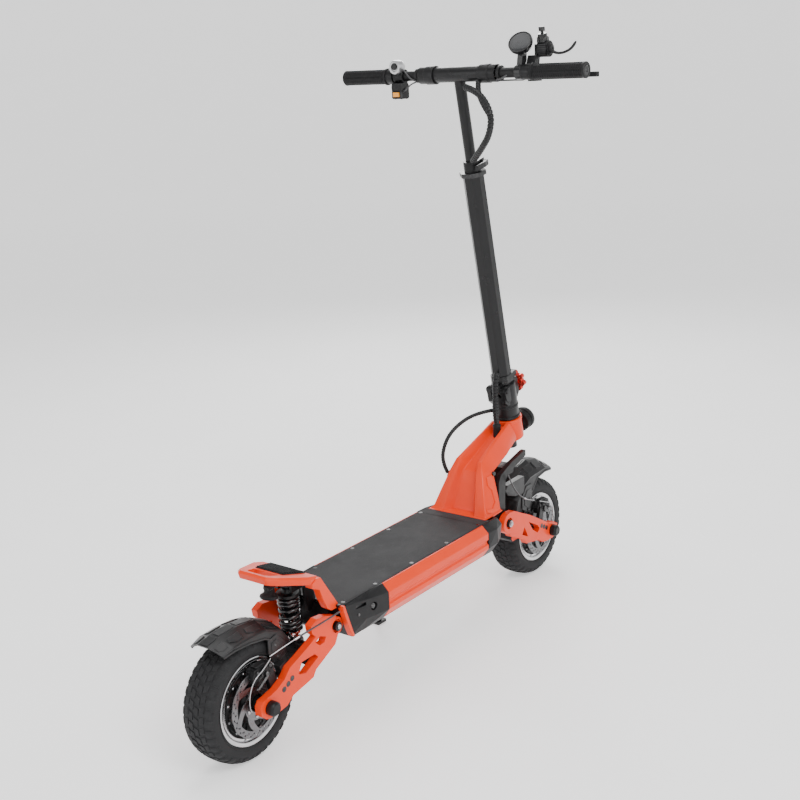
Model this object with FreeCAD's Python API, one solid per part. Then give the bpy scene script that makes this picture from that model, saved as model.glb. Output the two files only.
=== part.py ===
import FreeCAD, Part
import os
import math

V = FreeCAD.Vector
os.makedirs("parts", exist_ok=True)

# Electric kick scooter, folding, with two hub motors and two swing arms.
# Frame: +X forward, +Y to the rider's left, +Z up, millimetres.
# Origin: on the ground, midway between the two axles.

# ------------------------------------------------------------------ driving dimensions
WHEELBASE = 1080.0
TYRE_R = 127.5            # 10 x 3 inch pneumatic tyre
TYRE_HALF_W = 39.0
RIM_R = 86.0
ROTOR_R = 70.0            # 140 mm disc
ARM_PIVOT_X = 333.0       # swing arm pivots, front and rear
ARM_PIVOT_Z = 213.0
ARM_IN = 64.0             # inner and outer faces of the arms
ARM_OUT = 80.0
CAP_END = 97.0            # axle cap ends
DECK_REAR = -325.0
DECK_FRONT = 262.0
DECK_HALF_W = 88.0
DECK_TOP = 258.0
DECK_BOTTOM = 176.0
PANEL_HALF_W = 110.0
PANEL_REAR = -195.0
PANEL_FRONT = 192.0
RAKE = 12.0               # steering axis, degrees back from vertical
AXIS_X, AXIS_Z = 461.5, 442.0   # top of the head tube on the steering axis
FOLD_S, FOLD_F = 84.0, -26.0    # fold pin, along and across the steering axis
STEM_AF = 46.0            # octagonal stem tube across flats
STEM_LOW, STEM_TOP = 112.0, 622.0
MAST_R = 12.7             # telescopic mast
BAR_S = 852.0             # bar centre along the steering axis
BAR_R = 11.1
TEE_R = 17.0
BAR_PIVOT_Y = 96.0
GRIP_R = 17.0
BAR_END = 319.0
SHOCK_TOP = (386.0, 305.0)
SHOCK_LOW = (380.0, 186.0)

# ------------------------------------------------------------------ helpers
SN, CS = math.sin(math.radians(RAKE)), math.cos(math.radians(RAKE))
ES = V(-SN, 0, CS)        # up the steering axis
EF = V(CS, 0, SN)         # forward, square to it
EY = V(0, 1, 0)


def sf(s, f, y=0.0):
    return V(AXIS_X, 0, AXIS_Z) + ES * s + EF * f + EY * y


def box(x0, x1, y0, y1, z0, z1):
    return Part.makeBox(x1 - x0, y1 - y0, z1 - z0, V(x0, y0, z0))


def cyl(p0, p1, r):
    d = p1 - p0
    return Part.makeCylinder(r, d.Length, p0, d)


def cone(p0, p1, r0, r1):
    d = p1 - p0
    return Part.makeCone(r0, r1, d.Length, p0, d)


def face(pts):
    return Part.Face(Part.makePolygon(list(pts) + [pts[0]]))


def prism_y(xz, y0, y1):
    return face([V(x, y0, z) for x, z in xz]).extrude(V(0, y1 - y0, 0))


def prism_x(yz, x0, x1):
    return face([V(x0, y, z) for y, z in yz]).extrude(V(x1 - x0, 0, 0))


def sbox(s0, s1, f0, f1, y0, y1):
    return face([sf(s0, f0, y0), sf(s0, f1, y0), sf(s0, f1, y1), sf(s0, f0, y1)]).extrude(ES * (s1 - s0))


def sprism(poly, s0, s1):
    return face([sf(s0, f, y) for f, y in poly]).extrude(ES * (s1 - s0))


def sprism_y(poly_sf, y0, y1):
    return face([sf(s, f, y0) for s, f in poly_sf]).extrude(EY * (y1 - y0))


def fuse(*shapes):
    s = shapes[0]
    for o in shapes[1:]:
        s = s.fuse(o)
    return s.removeSplitter()


def revolve_y(profile, cx, cz):
    pts = [V(cx, y, cz + r) for y, r in profile]
    return face(pts).revolve(V(cx, 0, cz), V(0, 1, 0), 360)


def loft(sections, ruled=True):
    return Part.makeLoft([Part.makePolygon(list(s) + [s[0]]) for s in sections], True, ruled)


def hull(points):
    """Convex solid around the points, one flat face for each plane."""
    pts = [V(*p) if not isinstance(p, V) else p for p in points]
    n = len(pts)
    faces, seen = [], set()
    for i in range(n):
        for j in range(i + 1, n):
            for k in range(j + 1, n):
                m = (pts[j] - pts[i]).cross(pts[k] - pts[i])
                if m.Length < 1e-6:
                    continue
                m.normalize()
                d = [(p - pts[i]).dot(m) for p in pts]
                if max(d) > 1e-4 and min(d) < -1e-4:
                    continue
                if max(d) > 1e-4:
                    m = m * -1
                on = tuple(a for a in range(n) if abs(d[a]) <= 1e-4)
                if on in seen:
                    continue
                seen.add(on)
                c = V(0, 0, 0)
                for a in on:
                    c = c + pts[a]
                c = c * (1.0 / len(on))
                u = pts[on[0]] - c
                if u.Length < 1e-6:
                    u = pts[on[1]] - c
                u.normalize()
                w = m.cross(u)
                ring = sorted(on, key=lambda a: math.atan2((pts[a] - c).dot(w), (pts[a] - c).dot(u)))
                # keep only true corners
                keep = []
                for q in range(len(ring)):
                    a, b, e = pts[ring[q - 1]], pts[ring[q]], pts[ring[(q + 1) % len(ring)]]
                    if (b - a).cross(e - b).Length > 1e-4:
                        keep.append(b)
                if len(keep) >= 3:
                    faces.append(face(keep))
    shell = Part.makeShell(faces)
    solid = Part.makeSolid(shell)
    if solid.Volume < 0:
        solid.reverse()
    return solid


def mirror_y(s):
    return s.mirror(V(0, 0, 0), V(0, 1, 0))


def mirror_x(s):
    return s.mirror(V(0, 0, 0), V(1, 0, 0))


def path_wire(pts, share=0.45):
    pts = [V(*p) if not isinstance(p, V) else p for p in pts]
    edges, at, radii = [], pts[0], []
    for i in range(1, len(pts) - 1):
        a, b, c = pts[i - 1], pts[i], pts[i + 1]
        d0, d1 = (b - a), (c - b)
        turn = math.acos(max(-1, min(1, d0.dot(d1) / d0.Length / d1.Length)))
        r = share * min(d0.Length, d1.Length) / math.tan(turn / 2)
        t = share * min(d0.Length, d1.Length)
        d0.normalize()
        d1.normalize()
        p, q = b - d0 * t, b + d1 * t
        mid_dir = d1 - d0
        mid_dir.normalize()
        m = b + mid_dir * (math.sqrt(r * r + t * t) - r)
        edges.append(Part.LineSegment(at, p).toShape())
        edges.append(Part.Arc(p, m, q).toShape())
        at = q
        radii.append(round(r, 1))
    edges.append(Part.LineSegment(at, pts[-1]).toShape())
    return Part.Wire(edges), radii


def tube(name, pts, r, share=0.45):
    wire, radii = path_wire(pts, share)
    e = wire.Edges[0]
    d = e.tangentAt(e.FirstParameter)
    start = e.valueAt(e.FirstParameter)
    circle = Part.Wire([Part.Circle(start, d, r).toShape()])
    s = wire.makePipeShell([circle], True, True)
    want = math.pi * r * r * wire.Length
    print(name, "radii", min(radii) if radii else None, "length", round(wire.Length, 1),
          "volume share", round(s.Volume / want, 4), s.isValid())
    return s


def save(name, *shapes):
    solids = []
    for s in shapes:
        solids += s.Solids
    for s in solids:
        if not s.isValid():
            print("INVALID", name)
    shape = solids[0] if len(solids) == 1 else Part.makeCompound(solids)
    shape.exportStep("parts/%s.step" % name)


# ------------------------------------------------------------------ wheels
def wheel(tag, cx):
    cz = TYRE_R
    w = TYRE_HALF_W
    tyre = revolve_y([
        (-32, 79.2), (-32, 88.5), (-w, 97), (-w, 109), (-33, 120), (-24, 126), (-17, TYRE_R), (17, TYRE_R), (24, 126), (33, 120),
        (w, 109), (w, 97), (32, 88.5), (32, 79.2), (25, 79.2), (25, 86), (32, 97), (32, 107), (26, 114), (16, 118), (-16, 118),
        (-26, 114), (-32, 107), (-32, 97), (-25, 86), (-25, 79.2)], cx, cz)
    save(tag + "_tyre", tyre)
    # Split rim with the motor's side covers: a drum, open only at the two bearing bores.
    drum = revolve_y([
        (-36, 76), (-36, RIM_R), (-33, RIM_R + 1.5), (-32.2, 79), (32.2, 79), (33, RIM_R + 1.5), (36, RIM_R), (36, 76), (31, 72),
        (31, 40), (34, 30), (34, 17.6), (24, 17.6), (24, 66), (-24, 66), (-24, 17.6), (-42, 17.6), (-42, 26), (-34, 30), (-31, 40), (-31, 72)], cx, cz)
    bolts = []
    for k in range(6):
        a = math.radians(30 + 60 * k)
        c = V(cx + 56 * math.cos(a), 0, cz + 56 * math.sin(a))
        bolts.append(cyl(c + V(0, -33.5, 0), c + V(0, -30.5, 0), 4))
        bolts.append(cyl(c + V(0, 30.5, 0), c + V(0, 33.5, 0), 4))
    save(tag + "_rim", fuse(drum, *bolts))
    # Brake disc: outer band, six arms, inner ring.
    disc = revolve_y([(-44.2, 57), (-44.2, ROTOR_R), (-46.2, ROTOR_R), (-46.2, 57)], cx, cz)
    inner = revolve_y([(-42, 17.8), (-42, 33), (-46.2, 33), (-46.2, 17.8)], cx, cz)
    arms = []
    for k in range(6):
        a = 60 * k
        b = box(30, 59, -46.2, -44.2, -6, 6)
        b.rotate(V(0, 0, 0), V(0, 1, 0), a)
        b.translate(V(cx, 0, cz))
        arms.append(b)
    rotor = fuse(disc, inner, *arms)
    holes = []
    for k in range(36):
        a = math.radians(10 * k)
        c = V(cx + 63.5 * math.cos(a), 0, cz + 63.5 * math.sin(a))
        holes.append(cyl(c + V(0, -50, 0), c + V(0, -40, 0), 2.6))
    rotor = rotor.cut(Part.makeCompound(holes))
    save(tag + "_rotor", rotor)
    # Axle with the wound stator, the two wheel bearings, washers, nuts and end caps.
    axle = cyl(V(cx, -90, cz), V(cx, 90, cz), 7.5)
    stator = cyl(V(cx, -18, cz), V(cx, 18, cz), 60).cut(cyl(V(cx, -20, cz), V(cx, 20, cz), 7.55))
    bearings = []
    for y in (-1, 1):
        ring = cyl(V(cx, y * 24.5, cz), V(cx, y * 33.5, cz), 17.5).cut(cyl(V(cx, y * 20, cz), V(cx, y * 40, cz), 7.5))
        bearings.append(ring)
    parts = [axle, stator] + bearings
    for y in (-1, 1):
        spacer = cyl(V(cx, y * 33.5, cz), V(cx, y * ARM_IN, cz), 12).cut(cyl(V(cx, y * 30, cz), V(cx, y * 70, cz), 7.5))
        cap = cyl(V(cx, y * ARM_OUT, cz), V(cx, y * (CAP_END - 4), cz), 14.5)
        dome = cone(V(cx, y * (CAP_END - 4), cz), V(cx, y * CAP_END, cz), 14.5, 10.5)
        cap = fuse(cap, dome).cut(cyl(V(cx, y * 70, cz), V(cx, y * 90, cz), 7.5))
        parts += [spacer, cap]
    save(tag + "_axle", *parts)


wheel("rear", -WHEELBASE / 2)
wheel("front", WHEELBASE / 2)

# ------------------------------------------------------------------ swing arms
LOW = [(331, 192), (340, 176), (403, 147), (412, 134), (474, 123), (493, 110), (520, 106), (552, 108), (566, 120), (566, 138)]
ARM = {"rear": LOW + [(559, 147), (520, 155), (497, 166), (479, 184), (453, 193), (412, 209), (398, 216), (408, 226), (411, 242), (392, 251), (366, 248), (345, 240), (333, 236)],
       "front": LOW + [(538, 150), (516, 156), (430, 204), (390, 222), (356, 238), (333, 240)]}
WINDOW = {"rear": [(455, 159), (444, 181), (404, 181), (395, 171), (434, 153)], "front": [(424, 187), (468, 164), (477, 152), (466, 144), (443, 160)]}
SLOT = {"rear": [(388, 193), (400, 204), (386, 212), (368, 204), (374, 194)], "front": [(403, 180), (420, 150), (391, 164)]}
HOLES = {"rear": ((499, 147), (486.5, 153), (474.5, 160)), "front": ((511, 143), (499, 149.5), (487, 156))}


def swing_arm(tag, sign, eye_r):
    px, pz = ARM_PIVOT_X, ARM_PIVOT_Z
    axle_c = V(WHEELBASE / 2, 0, TYRE_R)

    def side(y0, y1):
        a = prism_y(ARM[tag], y0, y1)
        a = a.fuse(cyl(V(px, y0, pz), V(px, y1, pz), eye_r))
        a = a.fuse(cyl(V(axle_c.x, y0, TYRE_R), V(axle_c.x, y1, TYRE_R), 22))
        win = prism_y(WINDOW[tag], y0 - 5, y1 + 5)
        a = a.cut(win).cut(prism_y(SLOT[tag], y0 - 5, y1 + 5))
        for hx, hz in HOLES[tag]:
            a = a.cut(cyl(V(hx, y0 - 5, hz), V(hx, y1 + 5, hz), 3.6))
        a = a.cut(cyl(V(px, y0 - 5, pz), V(px, y1 + 5, pz), 6.1))
        a = a.cut(cyl(V(axle_c.x, y0 - 5, TYRE_R), V(axle_c.x, y1 + 5, TYRE_R), 7.5))
        return a.removeSplitter()

    left = side(ARM_IN, ARM_OUT)
    right = side(-ARM_OUT, -ARM_IN)
    # recessed seats for the pivot bolt heads
    for k, s in ((0, 1), (1, -1)):
        rec = cyl(V(px, s * (ARM_OUT - 5), pz), V(px, s * (ARM_OUT + 5), pz), 14)
        if k == 0:
            left = left.cut(rec)
        else:
            right = right.cut(rec)
    bridge = prism_y([(366, 158), (372, 150), (400, 150), (402, 166), (374, 168)], -ARM_IN, ARM_IN)
    lx, lz = SHOCK_LOW
    ears = []
    for y0, y1 in ((13.5, 20), (-20, -13.5)):
        e = prism_y([(lx - 11, 164), (lx + 11, 164), (lx + 10, lz), (lx - 10, lz)], y0, y1)
        e = e.fuse(cyl(V(lx, y0, lz), V(lx, y1, lz), 10))
        ears.append(e)
    arm = fuse(left, right, bridge, *ears)
    arm = arm.fuse(cyl(V(lx, -14, lz), V(lx, 14, lz), 5)).removeSplitter()
    if sign < 0:
        arm = mirror_x(arm)
    save(tag + "_swingarm", arm)
    # Caliper over the top of the disc, bolted to the inside of the right arm.
    cx, cz = 532.0, 190.0
    cal = prism_y([(cx - 27, cz - 14), (cx + 22, cz - 18), (cx + 30, cz - 4), (cx + 24, cz + 15), (cx - 20, cz + 17), (cx - 30, cz + 4)], -60, -39.5)
    cal = cal.cut(revolve_y([(-42.8, 20), (-42.8, 73), (-47.6, 73), (-47.6, 20)], WHEELBASE / 2, TYRE_R))
    lug = prism_y([(cx - 34, 158), (cx - 14, 150), (cx - 6, cz - 6), (cx - 22, cz + 6)], -ARM_IN, -54)
    cal = fuse(cal, lug)
    cal = cal.fuse(cyl(V(cx - 4, -63.5, cz), V(cx - 4, -55, cz), 13)).removeSplitter()
    if sign < 0:
        cal = mirror_x(cal)
    save(tag + "_caliper", cal)


swing_arm("rear", -1, 19)
swing_arm("front", 1, 26)


# ------------------------------------------------------------------ shock absorbers
def shock(tag, sign):
    ux, uz = SHOCK_TOP
    lx, lz = SHOCK_LOW
    top, low = V(ux, 0, uz), V(lx, 0, lz)
    ax = top - low
    n = ax.Length
    ax.normalize()

    def at(t):
        return low + ax * t

    eye_t = cyl(top + V(0, -12, 0), top + V(0, 12, 0), 9.5)
    body = fuse(eye_t, cyl(at(n - 6), at(n - 22), 11.5), cyl(at(n - 16), at(n - 22), 24), cyl(at(n - 10), at(50), 12))
    body = body.cut(cyl(at(20), at(n - 22), 6.3))
    body = body.cut(cyl(top + V(0, -20, 0), top + V(0, 20, 0), 5.1))
    eye_l = cyl(low + V(0, -12, 0), low + V(0, 12, 0), 10)
    rod = fuse(eye_l, cyl(at(6), at(24), 11), cyl(at(17), at(23), 24), cyl(at(20), at(n - 42), 6))
    rod = rod.cut(cyl(low + V(0, -20, 0), low + V(0, 20, 0), 6.0))
    # coil spring between the two seats
    h = n - 22 - 23
    wire_r = 3.2
    turns = 6
    helix = Part.makeHelix((h - 2 * wire_r - 1.0) / turns, h - 2 * wire_r - 1.0, 20.5)
    prof = Part.Wire([Part.makeCircle(wire_r, V(20.5, 0, 0), V(0, 1, 0))])
    spring = Part.Wire(helix).makePipeShell([prof], True, True)
    rot = FreeCAD.Rotation(V(0, 0, 1), ax)
    spring.Placement = FreeCAD.Placement(at(23) + ax * (wire_r + 0.5), rot)
    print(tag, "spring", spring.isValid(), round(spring.Volume), "shock length", round(n, 2))
    out = [body, rod, spring]
    if sign < 0:
        out = [mirror_x(s) for s in out]
    save(tag + "_shock_body", out[0])
    save(tag + "_shock_rod", out[1])
    save(tag + "_spring", out[2])


shock("rear", -1)
shock("front", 1)


# ------------------------------------------------------------------ mudguards, carried by the swing arms
def guard(tag, sign, spans, stay):
    cx, cz = WHEELBASE / 2, TYRE_R
    # spans: (angle from vertical towards the pivot, crown radius, half width, radius of the skirt's top edge, of its lower edge)
    outer, inner = [], []
    shells = []
    t = 3.0
    secs = []
    for a, r, w, r1, r0 in spans:
        ca, sa = math.cos(math.radians(a)), math.sin(math.radians(a))
        er = V(-sa, 0, ca)

        def P(rad, y):
            return V(cx, 0, cz) + er * rad + EY * y
        out = [P(r0, -w), P(r1, -w), P(r, -20), P(r, 20), P(r1, w), P(r0, w)]
        inn = [P(r0, w - t), P(r1 - 2.5, w - t), P(r - 3.6, 18.5), P(r - 3.6, -18.5), P(r1 - 2.5, -w + t), P(r0, -w + t)]
        inn = inn[::-1]
        secs.append((out, inn))
    for (o0, i0), (o1, i1) in zip(secs, secs[1:]):
        for k in range(5):
            shells.append(hull([o0[k], o0[k + 1], i0[k], i0[k + 1], o1[k], o1[k + 1], i1[k], i1[k + 1]]))
    g = shells[0].multiFuse(shells[1:]).removeSplitter()
    stays = []
    for s in (-1, 1):
        stays.append(prism_y(stay, min(s * 43.4, s * 48.5), max(s * 43.4, s * 48.5)))
        stays.append(prism_y([(462, 160), (480, 156), (490, 186), (474, 192)], min(s * 47, s * ARM_IN), max(s * 47, s * ARM_IN)))
    g = fuse(g, *stays)
    if sign < 0:
        g = mirror_x(g)
    save(tag + "_mudguard", g)


guard("rear", -1, [(50, 148, 44, 138, 116), (35, 153, 46, 144, 119), (16, 154, 46, 142, 123), (-3, 154, 46, 139, 126), (-20, 160, 46, 146, 136), (-31, 167, 43, 151, 144)],
      [(450, 196), (484, 182), (500, 214), (500, 240), (476, 246), (452, 222)])
guard("front", 1, [(76, 138, 42, 131, 120), (60, 147, 43, 138, 117), (46, 163, 45, 150, 120), (30, 180, 46, 160, 116), (18, 184, 46, 160, 118), (5, 184, 46, 155, 139), (-10, 177, 45, 158, 146), (-24, 169, 42, 158, 152)],
      [(448, 206), (486, 182), (499, 216), (496, 262), (470, 262), (450, 240)])

# ------------------------------------------------------------------ deck
W, ZT, ZB = DECK_HALF_W, DECK_TOP, DECK_BOTTOM
tray = prism_y([(DECK_REAR + 2, ZT - 4), (-292, ZB), (DECK_FRONT - 18, ZB), (DECK_FRONT, ZB + 24), (DECK_FRONT, ZT - 4)], -W, W)
room = prism_y([(DECK_REAR + 12, ZT + 5), (DECK_REAR + 12, ZT - 12), (-284, ZB + 4), (DECK_FRONT - 26, ZB + 4), (DECK_FRONT - 8, ZB + 28), (DECK_FRONT - 8, ZT + 5)], -W + 4, W - 4)
tray = tray.cut(room)
# kickstand bracket under the left edge, with its hinge pin
KX, KZ = 60.0, 158.0
brk = prism_y([(KX - 16, ZB + 0.5), (KX + 16, ZB + 0.5), (KX + 9, KZ - 2), (KX - 9, KZ - 2)], 58, 66).fuse(cyl(V(KX, 58, KZ), V(KX, 66, KZ), 9))
brk = brk.fuse(cyl(V(KX, 60, KZ), V(KX, 83, KZ), 4)).fuse(cyl(V(KX, 82.4, KZ), V(KX, 86, KZ), 7))
tray = tray.fuse(brk)
save("deck_tray", tray.removeSplitter())

plate = box(DECK_REAR + 2, 226, -W - 2, W + 2, ZT - 4, ZT)
SCREWS = [(x, s * 82) for x in (-312, -205, -75, 60, 190) for s in (-1, 1)]
for x, y in SCREWS:
    plate = plate.cut(cyl(V(x, y, ZT - 2.2), V(x, y, ZT + 1), 4.6)).cut(cyl(V(x, y, ZT - 6), V(x, y, ZT), 2.2))
save("deck_plate", plate)

bolts = []
for x, y in SCREWS:
    bolts.append(fuse(cyl(V(x, y, ZT - 2.2), V(x, y, ZT - 0.3), 4.5), cyl(V(x, y, ZT - 4), V(x, y, ZT - 2.2), 2.1)))


def panel(s):
    pts = [(-90.2, 257), (-94, 257), (-110, 241), (-110, 225), (-106, 222), (-106, 216), (-110, 213), (-110, 203), (-93, 180), (-88, 180), (-88, 253.8), (-90.2, 253.8)]
    p = prism_x(pts, PANEL_REAR, PANEL_FRONT)
    hollow = prism_x([(-91, 252), (-94.5, 252), (-106, 240), (-106, 226), (-102, 223), (-102, 215), (-106, 212), (-106, 204.5), (-94, 186), (-91, 186)], PANEL_REAR + 6, PANEL_FRONT - 6)
    p = p.cut(hollow)
    return p if s < 0 else mirror_y(p)


save("side_panels", panel(-1), panel(1))


def rear_cap():
    a = [V(-195.4, -88.2, 257.6), V(-195.4, -94, 257.6), V(-195.4, -110, 241), V(-195.4, -110, 203), V(-195.4, -92, 179), V(-195.4, -88.2, 179)]
    b = [V(-262, -88.2, 257.6), V(-262, -91, 257.6), V(-262, -102, 248), V(-262, -101, 205), V(-262, -92, 178.5), V(-262, -88.2, 178.5)]
    c = [V(-323, -88.2, 257), V(-323, -90, 257), V(-322, -92.5, 252), V(-302, -91.5, 196), V(-296, -90, 181), V(-296, -88.2, 180)]
    cap = fuse(hull(a + b), hull(b + c))
    rec = cyl(V(-240, -120, 226), V(-240, -98, 226), 9)
    slot = box(-290, -262, -120, -96, 236, 243)
    cap = cap.cut(rec).cut(slot)
    return cap.cut(box(-340, -190, -92.2, -80, ZT - 4.4, ZT + 5))


def front_cap():
    a = [V(192.4, -88.2, 257.6), V(192.4, -94, 257.6), V(192.4, -110, 241), V(192.4, -110, 203), V(192.4, -92, 179), V(192.4, -88.2, 179)]
    b = [V(226, -88.2, 257.6), V(226, -93, 257.6), V(229, -111, 240), V(232, -111, 205), V(224, -93, 179), V(224, -88.2, 179)]
    c = [V(260, -88.2, 255), V(260, -90, 255), V(264, -101, 240), V(261, -99, 207), V(250, -90, 186), V(246, -88.2, 182)]
    cap = fuse(hull(a + b), hull(b + c))
    return cap.cut(box(150, 226.2, -92.2, -80, ZT - 4.4, ZT + 5))


rc, fc = rear_cap(), front_cap()
save("corner_caps", rc, mirror_y(rc), fc, mirror_y(fc))

battery = box(-262, 96, -76, 76, ZB + 4, ZT - 16)
ctrl = [box(104, 180, -70, -6, ZB + 4, ZB + 44), box(104, 180, 6, 70, ZB + 4, ZB + 44)]
save("battery_and_controllers", battery, *ctrl)

# ------------------------------------------------------------------ rear frame: end plate, pivot lug, shock plates
P0 = (-ARM_PIVOT_X, ARM_PIVOT_Z)
end = prism_y([(-323.4, 258.4), (-323.4, 250.5), (-292.6, 176), (-297, 176), (-327, 250), (-331, 254), (-331, 258.4)], -W + 0.5, W - 0.5)
lug = cyl(V(P0[0], -60, P0[1]), V(P0[0], 60, P0[1]), 17)
gus = prism_y([(-300, 178), (-330, 250), (-345, 226), (-349, 214), (-340, 198), (-318, 188)], -60, 60)
frame = fuse(end, lug, gus)
ux, uz = -SHOCK_TOP[0], SHOCK_TOP[1]
for y0, y1 in ((15, 22), (-22, -15)):
    ear = prism_y([(-326, 250), (-328, 232), (-350, 238), (-356, 262), (-358, 296), (ux - 10, 296), (ux - 12, 320.5), (-352, 320.5), (-336, 300)], y0, y1)
    frame = frame.fuse(ear)
top = prism_y([(-352, 315.6), (ux - 12, 315.6), (ux - 12, 320.5), (-352, 320.5)], -22, 22)
frame = frame.fuse(top)
frame = frame.fuse(cyl(V(ux, -16, uz), V(ux, 16, uz), 5))
frame = frame.cut(cyl(V(P0[0], -70, P0[1]), V(P0[0], 70, P0[1]), 6.0)).removeSplitter()
save("rear_frame", frame)
for s in (-1, 1):
    pass
pin = cyl(V(P0[0], -76, P0[1]), V(P0[0], 76, P0[1]), 6.0)
heads = [cyl(V(P0[0], s * 75.4, P0[1]), V(P0[0], s * 86, P0[1]), 9.5) for s in (-1, 1)]
bolts.append(fuse(pin, *heads))

# ------------------------------------------------------------------ kickplate
legs = []
for y0, y1 in ((62, 80), (-80, -62)):
    legs.append(prism_y([(-323.2, 258.6), (-374, 334), (-392, 338), (-398, 318), (-362, 258), (-340, 250), (-331.2, 250), (-331.2, 258.6)], y0, y1))
tilt = math.atan2(25, 98)
plan = [(-374, -80), (-374, 80), (-400, 80), (-482, 48), (-486, 40), (-486, -40), (-482, -48), (-400, -80)]


def zt(x):
    return 336 + (-374 - x) * math.tan(tilt)


def slab(points, below, above=0.0):
    lo = [V(x, y, zt(x) - below) for x, y in points]
    return face(lo).extrude(V(0, 0, below + above))


top = slab(plan, 15)
grab = slab([(-443, -34), (-443, 34), (-472, 27), (-472, -27)], 40, 10)
top = top.cut(grab)
recess = slab([(-380, -46), (-380, 46), (-434, 36), (-434, -36)], 4, 10)
top = top.cut(recess)
kick = fuse(top, *legs)
save("kickplate", kick)
pad = slab([(-381, -45), (-381, 45), (-433, 35.2), (-433, -35.2)], 3.9, 1.5)
ribs = [slab([(-386 - 8 * k, -43 + 1.3 * k), (-386 - 8 * k, 43 - 1.3 * k), (-390 - 8 * k, 43 - 1.3 * k), (-390 - 8 * k, -43 + 1.3 * k)], -1.4, 4.5) for k in range(6)]
save("kickplate_pad", fuse(pad, *ribs))

# ------------------------------------------------------------------ neck: a tapered casting from the deck to the head tube
def quad(z, xr, wr, xf, wf):
    return [V(xr, -wr, z), V(xf, -wf, z), V(xf, wf, z), V(xr, wr, z)]


low1 = loft([quad(258.4, 226, 76, 300, 74), quad(300, 240, 61, 302, 66)])
low2 = loft([quad(300, 240, 61, 302, 66), quad(352, 268, 38, 304, 56)])
up = loft([[V(268, -38, 352), V(304, -56, 352), V(304, 56, 352), V(268, 38, 352)],
           [V(288, -30, 380), V(372, -46, 374), V(372, 46, 374), V(288, 30, 380)],
           ])
up2 = loft([[V(288, -30, 380), V(372, -46, 374), V(372, 46, 374), V(288, 30, 380)],
            [V(430, -24, 440), V(452, -32, 386), V(452, 32, 386), V(430, 24, 440)]])
head = cyl(sf(-58, 0), sf(0, 0), 33)
neck = fuse(low1, low2, up, up2, head)
in1 = loft([quad(250, 232, 71, 294, 69), quad(300, 246, 56, 297, 61)])
in2 = loft([quad(300, 246, 56, 297, 61), quad(348, 272, 34, 299, 50)])
in3 = loft([[V(272, -34, 348), V(299, -50, 348), V(299, 50, 348), V(272, 34, 348)],
            [V(296, -25, 376), V(368, -41, 379), V(368, 41, 379), V(296, 25, 376)]])
in4 = loft([[V(296, -25, 376), V(368, -41, 379), V(368, 41, 379), V(296, 25, 376)],
            [V(412, -20, 424), V(425, -28, 392), V(425, 28, 392), V(412, 20, 424)]])
neck = neck.cut(in1).cut(in2).cut(in3).cut(in4)
neck = neck.cut(sbox(-110, -58, -200, 60, -90, 90))
neck = neck.cut(cyl(sf(-80, 0), sf(10, 0), 20))
foot = box(227, 300, -76, 76, ZT - 4.0, ZT + 0.6).cut(box(234, 290, -68, 68, ZT - 10, ZT + 10))
neck = neck.fuse(foot).removeSplitter()
print("neck solids", len(neck.Solids), neck.isValid())
save("neck_frame", neck)
save("bolts_and_bearings", *bolts, *[cyl(sf(a, 0), sf(b, 0), 19.95).cut(cyl(sf(a - 5, 0), sf(b + 5, 0), 14.05)) for a, b in ((-57, -46), (-12, -1))])

LS = -40
lamp = fuse(cyl(sf(LS, 33.6), sf(LS, 52), 14), cyl(sf(LS, 48), sf(LS, 80), 28))
lamp = lamp.cut(cyl(sf(LS, 66), sf(LS, 90), 24.4))
glass = cyl(sf(LS, 74), sf(LS, 78), 24.2)
save("headlight", lamp, glass)

# ------------------------------------------------------------------ fork: steerer, crown, side plates
steerer = cyl(sf(-84, 0), sf(58, 0), 14)
crown_plan = [(-48, 59), (-30, 59), (-4, 31), (20, 18), (20, -18), (-4, -31), (-30, -59), (-48, -59)]
crown = hull([sf(a, f, y) for a in (-86, -62) for f, y in crown_plan])
crown = crown.fuse(cyl(sf(-62, 0), sf(-59.5, 0), 26))
PL = [(448, 366), (448, 352), (436, 348), (372, 331), (353, 316), (348, 262), (350, 213), (333, 196), (316, 213), (322, 318), (332, 334), (380, 352), (440, 366)]
fork = fuse(steerer, crown)
for y0, y1 in ((47, 59), (-59, -47)):
    fork = fork.fuse(prism_y(PL, y0, y1).fuse(cyl(V(ARM_PIVOT_X, y0, ARM_PIVOT_Z), V(ARM_PIVOT_X, y1, ARM_PIVOT_Z), 18)))
ux, uz = SHOCK_TOP
cross = prism_y([(366, 318), (404, 320), (404, 342), (366, 340)], -50, 50)
fork = fork.fuse(cross)
for y0, y1 in ((14, 21), (-21, -14)):
    fork = fork.fuse(prism_y([(ux - 12, 330), (ux + 12, 330), (ux + 10, uz), (ux - 10, uz)], y0, y1).fuse(cyl(V(ux, y0, uz), V(ux, y1, uz), 10)))
fork = fork.fuse(cyl(V(ux, -15, uz), V(ux, 15, uz), 5))
pin = cyl(V(ARM_PIVOT_X, -76, ARM_PIVOT_Z), V(ARM_PIVOT_X, 76, ARM_PIVOT_Z), 6.0)
fork = fork.fuse(pin)
for s in (-1, 1):
    fork = fork.fuse(cyl(V(ARM_PIVOT_X, s * 75.4, ARM_PIVOT_Z), V(ARM_PIVOT_X, s * 84, ARM_PIVOT_Z), 9.5))
save("fork", fork.removeSplitter())

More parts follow.
